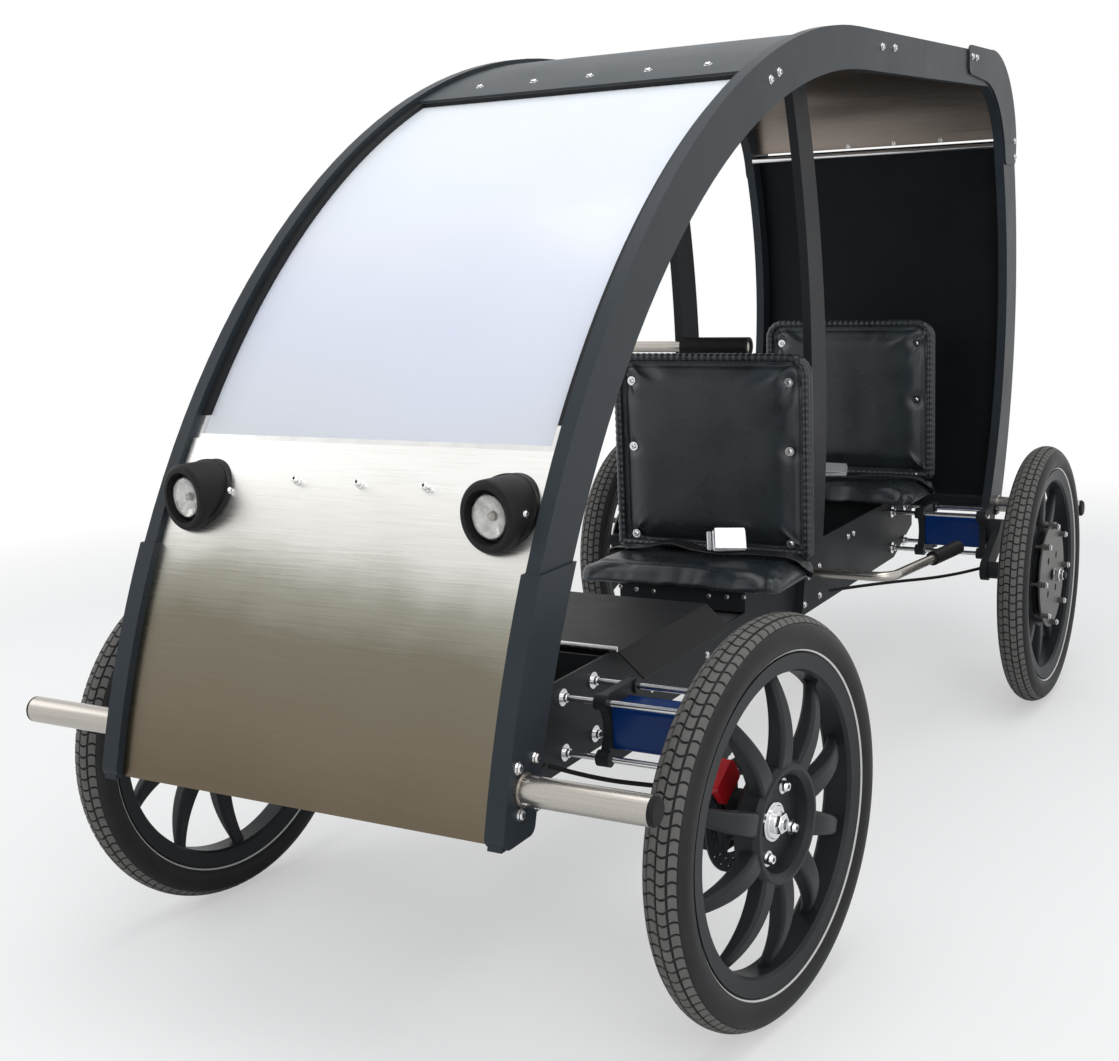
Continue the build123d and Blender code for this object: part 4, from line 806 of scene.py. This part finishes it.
def stacked_mesh(name, stack):
    """Short turned and six-sided rings along the axle, with bevelled rims."""
    shape = bmesh.new()
    for radius, start, end, sides in stack:
        bevel = min(0.0012, (end - start) * 0.3)
        profile = [(0.0, start), (radius, start), (radius, end - bevel), (radius - bevel, end), (0.0, end)]
        ring = turned_mesh("ring", profile, sides, closed=False)
        shade(ring, smooth=False)
        shape.from_mesh(ring)
        bpy.data.meshes.remove(ring)
    mesh = mesh_of(shape, name)
    mesh.materials.append(finishes["bright"])
    return mesh


for end, corner, matrix, rolling, carrying in CORNERS:
    nut = f"axle_nut_{corner}"
    place_piece(nut, stacked_mesh(nut, NUT_STACKS[end]), carrying, matrix)
    row, kind, circle, height, first, count, scale = WHEEL_BOLTS[end]
    out = matrix.to_3x3() @ Vector((0, 0, 1))
    angles = [radians(first + 360 / count * k) for k in range(count)]
    set_bolts(f"{row}_{corner}", rolling, kind, [
        (matrix @ Vector((circle * cos(a), circle * sin(a), height)), out) for a in angles], scale=scale)
print("wheel bolts set on", [name for name in made_bolts if name.startswith(("hub", "cover"))])

# %% [markdown]
# A seat is two padded boards in black leather. A pad could be a box with rounded edges, but leather over foam
# swells between its edges, so each pad starts as a slightly shrunken copy of its CAD solid, is remeshed into
# even squares, and is then blown up gently with Blender's cloth solver while its rear face is held. How far a
# point may travel is capped, and one subdivision smooths the result.

# %% Swell a pad with cloth
PAD_SHRINK, PAD_VOXEL, PAD_CAP, HELD_DEPTH = 0.003, 0.007, 0.009, 0.012
PAD_PRESSURE, PAD_QUALITY, PAD_FRAMES = 4.0, 4, 20
ALONG_Y, ALONG_Z = 1, 2


def modified_mesh(name, mesh, kind, **settings):
    """Runs one modifier on a mesh and returns the result as a plain mesh."""
    carrier = add_object(name, mesh)
    modifier = carrier.modifiers.new("shape", kind)
    for key, value in settings.items():
        setattr(modifier, key, value)
    return harvest(carrier, modifier)


def blow_up(pad, wall, axis):
    """Moves the pad's points as the cloth solver does, at most by the cap; those near the wall are held."""
    mesh = pad.data
    held = pad.vertex_groups.new(name="held")
    held.add([v.index for v in mesh.vertices if abs(v.co[axis] - wall) < HELD_DEPTH], 1.0, "REPLACE")
    rest = [v.co.copy() for v in mesh.vertices]
    cloth = pad.modifiers.new("swell", "CLOTH")
    cloth.settings.use_pressure = True
    cloth.settings.uniform_pressure_force = PAD_PRESSURE
    cloth.settings.effector_weights.gravity = 0.0
    cloth.settings.vertex_group_mass = "held"
    cloth.settings.quality = PAD_QUALITY
    for step in range(1, PAD_FRAMES + 1):
        scene.frame_set(step)
    blown = pad.evaluated_get(bpy.context.evaluated_depsgraph_get()).to_mesh()
    moves = [b.co - r for b, r in zip(blown.vertices, rest)]
    pad.modifiers.remove(cloth)
    for vertex, spot, move in zip(mesh.vertices, rest, moves):
        vertex.co = spot + move * min(1.0, PAD_CAP / max(move.length, 1e-9))
    scene.frame_set(1)


def swollen_pad(name, node, axis, held_side):
    """A closed pad grown from a CAD node. held_side is +1 or -1: the end of the axis that stays flat."""
    shape = bmesh.new()
    shape.from_mesh(nodes[node].data)
    bmesh.ops.remove_doubles(shape, verts=shape.verts, dist=1e-5)
    for vertex in shape.verts:
        vertex.co -= vertex.normal * PAD_SHRINK
    even = modified_mesh(name, mesh_of(shape, name), "REMESH", mode="VOXEL", voxel_size=PAD_VOXEL)
    pad = add_object(name, even)
    low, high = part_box(node)
    blow_up(pad, high[axis] if held_side > 0 else low[axis], axis)
    bpy.data.objects.remove(pad)
    smooth = modified_mesh(name, even, "SUBSURF", levels=1, render_levels=1)
    smooth.name = name
    shade(smooth)
    smooth.materials.clear()
    smooth.materials.append(finishes["vinyl"])
    return smooth


print("pads: squares of", PAD_VOXEL, "m, swelling at most", PAD_CAP, "m")

# %% [markdown]
# The seams come after the cloth, because remeshing would wipe them out. On the back, a sewn channel runs along
# the border, and each of the six screws pulls the leather in. On the base, the front lip is folded and wavy.
# Both are plain functions of a point's place, added to the smooth pad.

# %% Sew the channels and pull in the screws
SEATS = (
    # seat, front of the back's CAD solid, top of the base, top of the back
    ("front", 0.115, 0.486, 0.936),
    ("rear", 1.030, 0.516, 0.944),
)
SEAT_HALF, SEAT_ROUND, SEAT_FOOT_ROUND = 0.236, 0.046, 0.004
SCREW_X, SCREW_DROPS = 0.190, (0.062, 0.212, 0.416)
SEAM_DEPTH, SEAM_INSET, SEAM_WIDTH = 0.0042, 0.026, 0.0055
PULL_DEPTH, PULL_WIDTH, BACK_WAVE = 0.0075, 0.017, 0.0016
LIP_DEPTH, LIP_RISE, LIP_SWAY = 0.035, 0.0055, 0.006
FOLD_DEPTH, FOLD_INSET, FOLD_WIDTH, BASE_WAVE = 0.004, 0.042, 0.007, 0.0012


def edge_distance(x, z, low, high):
    """How far a point lies inside the back's outline, which has two round corners at the top."""
    half_h, middle = (high - low) / 2, (high + low) / 2
    corner = SEAT_ROUND if z > middle else SEAT_FOOT_ROUND
    qx, qz = abs(x) - SEAT_HALF + corner, abs(z - middle) - half_h + corner
    return corner - hypot(max(qx, 0), max(qz, 0)) - min(max(qx, qz), 0)


def bell(distance, width):
    return exp(-((distance / width) ** 2))


def wander(*place):
    return noise.noise(Vector(place))


def seat_pad(part, seat, mesh):
    """Sets a finished pad into the scene in place of its CAD solid."""
    mesh.update()
    pad = place_piece(f"seat_{part}_pad_{seat}", mesh, "chassis")
    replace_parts(pad, f"seat_{part}_{seat}")


for seat, _, base_top, back_top in SEATS:
    mesh = swollen_pad(f"seat_back_pad_{seat}", f"seat_back_{seat}", ALONG_Y, 1)
    screws = [(side * SCREW_X, back_top - drop) for drop in SCREW_DROPS for side in (1, -1)]
    ways = [vertex.normal.copy() for vertex in mesh.vertices]
    for vertex, way in zip(mesh.vertices, ways):
        x, _, z = vertex.co
        front = max(0.0, min(1.0, (-way.y - 0.25) / 0.5))
        push = SEAM_DEPTH * bell(edge_distance(x, z, base_top, back_top) - SEAM_INSET, SEAM_WIDTH)
        push += sum(PULL_DEPTH * bell(hypot(x - sx, z - sz), PULL_WIDTH) for sx, sz in screws)
        push += BACK_WAVE * wander(x * 11, 3.1, z * 7 + 0.4 * x)
        vertex.co.y += front * push
    seat_pad("back", seat, mesh)

    mesh = swollen_pad(f"seat_base_pad_{seat}", f"seat_base_{seat}", ALONG_Z, -1)
    front_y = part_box(f"seat_base_{seat}")[0].y
    ways = [vertex.normal.copy() for vertex in mesh.vertices]
    for vertex, way in zip(mesh.vertices, ways):
        x, y, z = vertex.co
        lip, top = bell(max(0.0, y - front_y - 0.004), LIP_DEPTH), max(0.0, way.z)
        ripple = wander(x * 16, y * 5, 1.7) + 0.5 * wander(x * 41, y * 9, 4.2)
        fold = bell(y - front_y - FOLD_INSET, FOLD_WIDTH)
        vertex.co.z += LIP_RISE * lip * ripple - FOLD_DEPTH * top * fold
        vertex.co.y += LIP_SWAY * lip * wander(x * 12, z * 30, 8.8)
        vertex.co.z += BASE_WAVE * top * wander(x * 20, y * 20, 2.5)
    seat_pad("base", seat, mesh)
    print(seat, "seat pads:", len(mesh.polygons), "faces on the base")

# %% [markdown]
# Round the border of each back the leather is rolled over and laced with thread. The roll follows a path, and
# the stitches repeat along it, so this is work for a geometry tree: the outline becomes a curve, its radius
# swells between the stitches, and a ring of thread is set across it at every pitch.

# %% The laced edge tree
laced, given, calc = geometry_tree(
    "laced_edge", Float=("Roll radius", "Pitch", "Pucker", "Thread radius", "Tilt"),
    Material=("Finish", "Thread finish"))
pitch, roll_r = (given, "Pitch"), (given, "Roll radius")


def ring_curve(resolution, radius):
    return put(laced, "CurvePrimitiveCircle", {"Resolution": resolution, "Radius": radius}, mode="RADIUS"), 0


def stepped(curve, step):
    return put(laced, "ResampleCurve", {"Curve": (curve, 0), "Length": step}, mode="LENGTH"), 0


path = put(laced, "MeshToCurve", {"Mesh": (given, "Geometry")})
phase = calc("DIVIDE", (put(laced, "SplineParameter"), "Length"), pitch)
wave = calc("COSINE", calc("MULTIPLY", phase, tau))
swell = calc("MULTIPLY_ADD", wave, calc("MULTIPLY", (given, "Pucker"), -1.0), 1.0)
roll = put(laced, "CurveToMesh", {
    "Curve": stepped(path, calc("MULTIPLY", pitch, 0.2)), "Profile Curve": ring_curve(12, 1.0),
    "Scale": calc("MULTIPLY", swell, roll_r)})
roll = painted(laced, put(laced, "SetShadeSmooth", {"Geometry": (roll, 0)}), (given, "Finish"))
across_path = put(laced, "AlignRotationToVector", {"Vector": (put(laced, "InputTangent"), 0)}, axis="Z")
thread = put(laced, "CurveToMesh", {
    "Curve": ring_curve(14, calc("MULTIPLY", roll_r, 0.99)),
    "Profile Curve": ring_curve(5, (given, "Thread radius"))})
tilt = put(laced, "CombineXYZ", {"X": (given, "Tilt")})
thread = put(laced, "Transform", {"Geometry": (thread, 0), "Rotation": (tilt, 0)})
stitches = put(laced, "InstanceOnPoints", {
    "Points": stepped(path, pitch), "Instance": (painted(laced, thread, (given, "Thread finish")), 0),
    "Rotation": (across_path, 0)})
close_tree(laced, joined(laced, roll, realized(laced, stitches)))
print("lacing tree:", len(laced.nodes), "nodes")

# %% Lace the two backs
LACE_INSET, LACE_STEP_BACK, LACE_RISE, SCREW_STEP_BACK = 0.0085, 0.006, 0.004, 0.0035
LACE_ROUND, ARC_STEP_DEG = SEAT_ROUND - 0.008, 15


def border_path(name, y, low, high):
    """A closed loop of points just inside the back's outline."""
    half, top, bottom = SEAT_HALF - LACE_INSET, high - LACE_INSET, low + LACE_INSET
    points = [(-half, bottom), (half, bottom)]
    for cx, start in ((half - LACE_ROUND, 0), (-half + LACE_ROUND, 90)):
        angles = [radians(start + ARC_STEP_DEG * k) for k in range(90 // ARC_STEP_DEG + 1)]
        points += [(cx + LACE_ROUND * cos(a), top - LACE_ROUND + LACE_ROUND * sin(a)) for a in angles]
    mesh = bpy.data.meshes.new(name)
    count = len(points)
    mesh.from_pydata([(x, y, z) for x, z in points], [(i, (i + 1) % count) for i in range(count)], [])
    return mesh


thread_black = mixed_finish("waxed_black_thread", (0.035, 0.035, 0.037), (0.015, 0.015, 0.016), (0.3, 0.45),
                            blotch=300.0)
for seat, face_y, base_top, back_top in SEATS:
    name = f"seat_lacing_{seat}"
    mesh = run_tree(laced, name, {
        "Roll radius": 0.0090, "Pitch": 0.0150, "Pucker": 0.07, "Thread radius": 0.0011, "Tilt": 0.45,
        "Finish": finishes["vinyl"], "Thread finish": thread_black,
    }, border_path(name, face_y + LACE_STEP_BACK, base_top + LACE_RISE, back_top))
    place_piece(name, mesh, "chassis")
    set_bolts(f"seat_screws_{seat}", "chassis", "cup", [
        (Vector((side * SCREW_X, face_y + SCREW_STEP_BACK, back_top - drop)), Vector((0, -1, 0)))
        for drop in SCREW_DROPS for side in (1, -1)], scale=0.92)
    print(name, len(mesh.polygons), "faces")

# %% [markdown]
# A lap belt lies across each seat: flat black webbing with a bright buckle. Webbing is too thin for a cloth
# solver to keep its edges, so it is modelled directly, as a ribbon that follows a given path over the
# leather and leans with it.

# %% Lap belts
BELT_W, BELT_T, BELT_STEPS = 0.046, 0.0022, 10
BELT_SECTION = ((-0.5, 0), (-0.44, -0.6), (0.44, -0.6), (0.5, 0), (0.44, 0.6), (0.36, 0.5), (-0.36, 0.5),
                (-0.44, 0.6))
UPWARD = Vector((0, 0, 1))


def smooth_path(points):
    """A rounded line through the given points."""
    points = [Vector(p) for p in points]
    ends = [2 * points[0] - points[1]] + points + [2 * points[-1] - points[-2]]
    line = []
    for a, b, c, d in zip(ends, ends[1:], ends[2:], ends[3:]):
        for k in range(BELT_STEPS):
            t = k / BELT_STEPS
            line.append(0.5 * (2 * b + (c - a) * t + (2 * a - 5 * b + 4 * c - d) * t**2
                               + (3 * b - a - 3 * c + d) * t**3))
    return line + [points[-1]]


def ribbon_mesh(name, points):
    """Flat webbing along a path, its face turned upward, with a slightly thicker rolled edge."""
    line = smooth_path(points)
    rows, size = [], len(BELT_SECTION)
    for i, spot in enumerate(line):
        along = (line[min(i + 1, len(line) - 1)] - line[max(i - 1, 0)]).normalized()
        side = along.cross(UPWARD).normalized()
        out = side.cross(along)
        rows += [spot + side * (u * BELT_W) + out * ((v + 0.6) * BELT_T) for u, v in BELT_SECTION]
    faces = [(i * size + k, i * size + (k + 1) % size, (i + 1) * size + (k + 1) % size, (i + 1) * size + k)
             for i in range(len(line) - 1) for k in range(size)]
    faces += [tuple(range(size - 1, -1, -1)), tuple(range(len(rows) - size, len(rows)))]
    mesh = bpy.data.meshes.new(name)
    mesh.from_pydata(rows, [], faces)
    square_up(mesh)
    shade(mesh)
    return mesh


webbing, tree, place = shader_sheet("belt_webbing")
ribs = put(tree, "TexWave", {"Vector": place, "Scale": 190.0, "Distortion": 0.4},
           wave_type="BANDS", bands_direction="DIAGONAL"), 0
dust = cloud(tree, place, 40.0)
tone = tones(tree, dust, (0.010, 0.010, 0.011), (0.024, 0.024, 0.026))
close_sheet(tree, principled(
    tree, tone, ranged(tree, dust, 0.0, 1.0, 0.3, 0.5), bump(tree, ribs, 0.5, 0.0005), {}))

finishes["buckle"] = mixed_finish("buckle_plate", (0.90, 0.91, 0.92), (0.74, 0.75, 0.77), (0.12, 0.24),
                                  blotch=40.0, metallic=0.55, depth=0.00001)
BUCKLE_PARTS = (
    # size, place, tip: the case, the lid that stands a little open, the slot bar
    ((0.074, 0.052, 0.010), (0, 0, 0.006), 0.0),
    ((0.066, 0.050, 0.0035), (0.002, 0.001, 0.0145), 0.07),
    ((0.010, 0.046, 0.006), (-0.044, 0, 0.006), 0.0),
)


def buckle_mesh(name, matrix):
    """A lift buckle of three bevelled blocks."""
    shape = bmesh.new()
    for size, spot, tip in BUCKLE_PARTS:
        box = bmesh.ops.create_cube(shape, size=1.0)["verts"]
        bmesh.ops.scale(shape, vec=size, verts=box)
        bmesh.ops.rotate(shape, matrix=Matrix.Rotation(tip, 3, "Y"), verts=box)
        bmesh.ops.translate(shape, vec=spot, verts=box)
        edges = list({edge for vertex in box for edge in vertex.link_edges})
        bmesh.ops.bevel(shape, geom=edges, offset=min(size) * 0.3, segments=3, affect="EDGES")
    bmesh.ops.transform(shape, matrix=matrix, verts=shape.verts)
    mesh = mesh_of(shape, name)
    mesh.materials.append(finishes["buckle"])
    return mesh


BELTS = (
    # seat, webbing from the right side to the left, buckle's place, its turn and its lean in degrees
    ("front", ((-0.232, 0.095, 0.470), (-0.222, 0.088, 0.492), (-0.150, 0.072, 0.500), (-0.085, 0.086, 0.512),
               (-0.020, 0.078, 0.503), (0.050, 0.070, 0.500), (0.120, 0.074, 0.503), (0.200, 0.084, 0.499),
               (0.230, 0.090, 0.480), (0.236, 0.094, 0.455)), (0.062, 0.072, 0.5255), 27, 52),
    ("rear", ((-0.232, 1.000, 0.500), (-0.222, 0.990, 0.522), (-0.130, 0.965, 0.532), (-0.060, 0.950, 0.536),
              (0.030, 0.945, 0.531), (0.110, 0.950, 0.538), (0.200, 0.985, 0.529), (0.230, 0.995, 0.510),
              (0.236, 1.000, 0.485)), (-0.010, 0.942, 0.5405), 16, 20),
)
for seat, route, spot, turn_deg, lean_deg in BELTS:
    mesh = ribbon_mesh(f"lap_belt_{seat}", route)
    mesh.materials.append(webbing)
    place_piece(mesh.name, mesh, "chassis")
    turned, leaned = Matrix.Rotation(radians(turn_deg), 4, "Z"), Matrix.Rotation(radians(lean_deg), 4, "X")
    buckle = buckle_mesh(f"belt_buckle_{seat}", Matrix.Translation(spot) @ turned @ leaned)
    place_piece(buckle.name, buckle, "chassis")
print("belts:", [belt[0] for belt in BELTS])

# %% [markdown]
# Each lamp is a black cup that looks ahead and a little to the right. The solid has a plain disc for its lens; on
# the real lamp one sees a faceted mirror with a small bulb behind a clear domed glass. Mirror, bulb and glass
# are turned profiles, drawn round the lamp's own axis and carried to both sides by a matrix. The mirror keeps
# its flat facets, because they are what breaks the light into bright and dark patches, and its colour carries
# a painted reflection too: noise patches between a near white and a dark warm brown.

# %% Lamp mirrors, bulbs and glasses
LAMP_X, LAMP_Y, LAMP_Z, LAMP_TURN = 0.282, -1.1988, 0.830, radians(11)
LENS_R, LENS_BACK, LENS_FRONT = 0.0330, 0.0243, 0.0320
DOME_H, DOME_STEPS, GLASS_T, MIRROR_DROP = 0.0042, 8, 0.0014, 0.0006

# painted reflection: the mirror's colour swings by noise between a near white and a dark warm brown
mirror_painted_reflection = mixed_finish("lamp_mirror", (0.92, 0.89, 0.84), (0.050, 0.034, 0.024), (0.05, 0.14),
                             blotch=70.0, metallic=1.0, depth=0.00001)
bulb_finish = mixed_finish("frosted_bulb", (0.62, 0.56, 0.47), (0.38, 0.33, 0.27), (0.12, 0.25), blotch=90.0)
mirror_profile = [
    (LENS_R, LENS_FRONT - MIRROR_DROP), (LENS_R, LENS_BACK), (0.006, LENS_BACK), (0.010, LENS_BACK + 0.0008),
    (0.019, LENS_BACK + 0.0022), (0.027, LENS_BACK + 0.0045), (0.0318, LENS_FRONT - MIRROR_DROP)]
bulb_profile = [
    (0.0, LENS_BACK), (0.0062, LENS_BACK), (0.0062, LENS_BACK + 0.0034), (0.0048, LENS_BACK + 0.0058),
    (0.0024, LENS_BACK + 0.0070), (0.0, LENS_BACK + 0.0073)]
dome = [(LENS_R * k / DOME_STEPS, LENS_FRONT + DOME_H * (1 - (k / DOME_STEPS) ** 2)) for k in range(DOME_STEPS + 1)]
glass_profile = dome + [(r, h - GLASS_T) for r, h in reversed(dome)]
LAMP_PARTS = (
    # piece, profile, segments, finish, whether it is a faceted ring
    ("lamp_mirror", mirror_profile, 22, mirror_painted_reflection, True),
    ("lamp_bulb", bulb_profile, 20, bulb_finish, False),
    ("lamp_glass", glass_profile, 40, finishes["lens"], False),
)
for hand, side in SIDES:
    look = Vector((-sin(LAMP_TURN), -cos(LAMP_TURN), 0))
    beside = Vector((cos(LAMP_TURN), -sin(LAMP_TURN), 0))
    matrix = axes_matrix(beside, (0, 0, 1), look, (side * LAMP_X, LAMP_Y, LAMP_Z))
    for label, profile, segments, finish, faceted in LAMP_PARTS:
        mesh = turned_mesh(f"{label}_{hand}", profile, segments, closed=faceted)
        shade(mesh, smooth=not faceted)
        mesh.materials.append(finish)
        piece = place_piece(mesh.name, mesh, "chassis", matrix)
        if label == "lamp_glass":
            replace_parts(piece, "headlamp_lenses")
low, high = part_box("headlamp_lenses")
print("lenses stood for between y", round(low.y, 4), "and", round(high.y, 4))

# %% [markdown]
# Some fasteners are easiest to place by where the camera sees them: a line of sight goes out through a spot of
# the photograph until it meets the solid that carries the screw. The screw then sits on that solid from
# every side. The lamps' screws and those of the plate under the front seat are set this way, and the plate's
# are mirrored to the far side. The seam bolts at the back are set by a ray straight back at their own height.

# %% Screws placed by line of sight
LAMP_SCREW_SPOTS = ((525.5, 514.0), (229.5, 490.5))
PLATE_SPOTS = ((709.0, 596.0), (727.0, 597.0), (744.0, 597.0))
SEAM_ROW, SEAM_FROM_Y, SEAM_Z = (-0.2, -0.07, 0.06, 0.19), 0.5, 1.412


def sighted(node, spots):
    """Seats on a node where lines of sight through spots of the photograph meet it."""
    ways = [ahead * FOCAL_PX + right * (px - IMAGE_W / 2) + down * (py - IMAGE_H / 2) for px, py in spots]
    return [seat for seat in (land(node, EYE, way) for way in ways) if seat]


set_bolts("lamp_screws", "chassis", "small", sighted("headlamp_bezels", LAMP_SCREW_SPOTS))
plate_seats = sighted("seat_supports", PLATE_SPOTS)
mirrored = [(Vector((-spot.x, spot.y, spot.z)), Vector((-way.x, way.y, way.z))) for spot, way in plate_seats]
set_bolts("plate_screws", "chassis", "small", plate_seats + mirrored)
set_bolts("seam_bolts", "chassis", "small", [
    land("rear_upper_panel", (x, SEAM_FROM_Y, SEAM_Z), (0, 1, 0)) for x in SEAM_ROW])
print("placed by sight:", made_bolts["lamp_screws"], "lamp screws,", made_bolts["plate_screws"], "plate screws")

# %% [markdown]
# Three small washer jets stand in a row on the nose panel: a bright collar, a waist and a nozzle whose bore is
# painted dark as shade. One turned profile serves for all three. It stands square on the panel, whose lean is read
# from the solid.

# %% Washer jets on the nose panel
JET_X, JET_Z, AHEAD_Y = (-0.098, 0.021, 0.142), 0.856, -1.6
JET_BORE_R, JET_BORE_H = 0.0025, 0.008
JET_PROFILE = [(0.0, 0.0), (0.0062, 0.0), (0.0062, 0.0026), (0.0046, 0.0034), (0.0046, 0.0066), (0.0056, 0.0074),
               (0.0056, 0.0120), (0.0044, 0.0132), (0.0024, 0.0132), (0.0024, 0.0090), (0.0, 0.0090)]
for number, x in enumerate(JET_X, 1):
    spot, way = land("front_panel", (x, AHEAD_Y, JET_Z), (0, 1, 0))
    # the faces deep in the bore take the painted shade
    mesh = turned_mesh(f"washer_jet_{number}", JET_PROFILE, 24, closed=False,
                       paint=lambda r, h: int(r < JET_BORE_R and h > JET_BORE_H))
    mesh.materials.append(finishes["bright"])
    mesh.materials.append(socket_shade)
    turned = way.to_track_quat("Z", "Y").to_matrix().to_4x4()
    place_piece(mesh.name, mesh, "chassis", Matrix.Translation(spot) @ turned)
print("jets on a panel that leans", round(way.z, 3))

# %% [markdown]
# The brake hoses run from the frame to the wheels' carriers in one slack curve each. A hose is a NURBS spline
# with the route's own points as its control points, so its bend is smooth, and its length is measured on the
# spline before it gets its thickness. The points are those of the solid's route.

# %% Brake hoses
HOSE_D = 0.008
HOSE_ROUTES = {
    "front": ((0.154, -0.900, 0.340), (0.220, -0.868, 0.316), (0.340, -0.862, 0.318), (0.411, -0.890, 0.334)),
    "rear": ((0.154, 0.425, 0.340), (0.210, 0.641, 0.316), (0.355, 0.791, 0.312), (0.411, 0.867, 0.322)),
}


def laid_hose(name, route):
    """A bare NURBS line through the route's control points, and its length."""
    curve = bpy.data.curves.new(name, "CURVE")
    curve.dimensions = "3D"
    spline = curve.splines.new("NURBS")
    spline.points.add(len(route) - 1)
    for point, spot in zip(spline.points, route):
        point.co = (*spot, 1)
    spline.order_u = 3
    spline.use_endpoint_u = True
    spline.resolution_u = 24
    hose = add_object(name, curve)
    ready = bpy.context.evaluated_depsgraph_get()
    line = bpy.data.meshes.new_from_object(hose.evaluated_get(ready), depsgraph=ready)
    spots = [v.co.copy() for v in line.vertices]
    bpy.data.meshes.remove(line)
    return hose, sum((b - a).length for a, b in zip(spots, spots[1:]))


for end, left_route in HOSE_ROUTES.items():
    for hand, side in SIDES:
        route = [(side * x, y, z) for x, y, z in left_route]
        hose, length = laid_hose(f"brake_hose_{end}_{hand}", route)
        hose.data.bevel_depth = HOSE_D / 2
        hose.data.bevel_resolution = 4
        hose.data.use_fill_caps = True
        hose.data.materials.append(finishes["black_rubber"])
        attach(hose, "chassis")
        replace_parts(hose, "brake_hoses")
    print(end, "hoses:", round(length, 3), "m each")
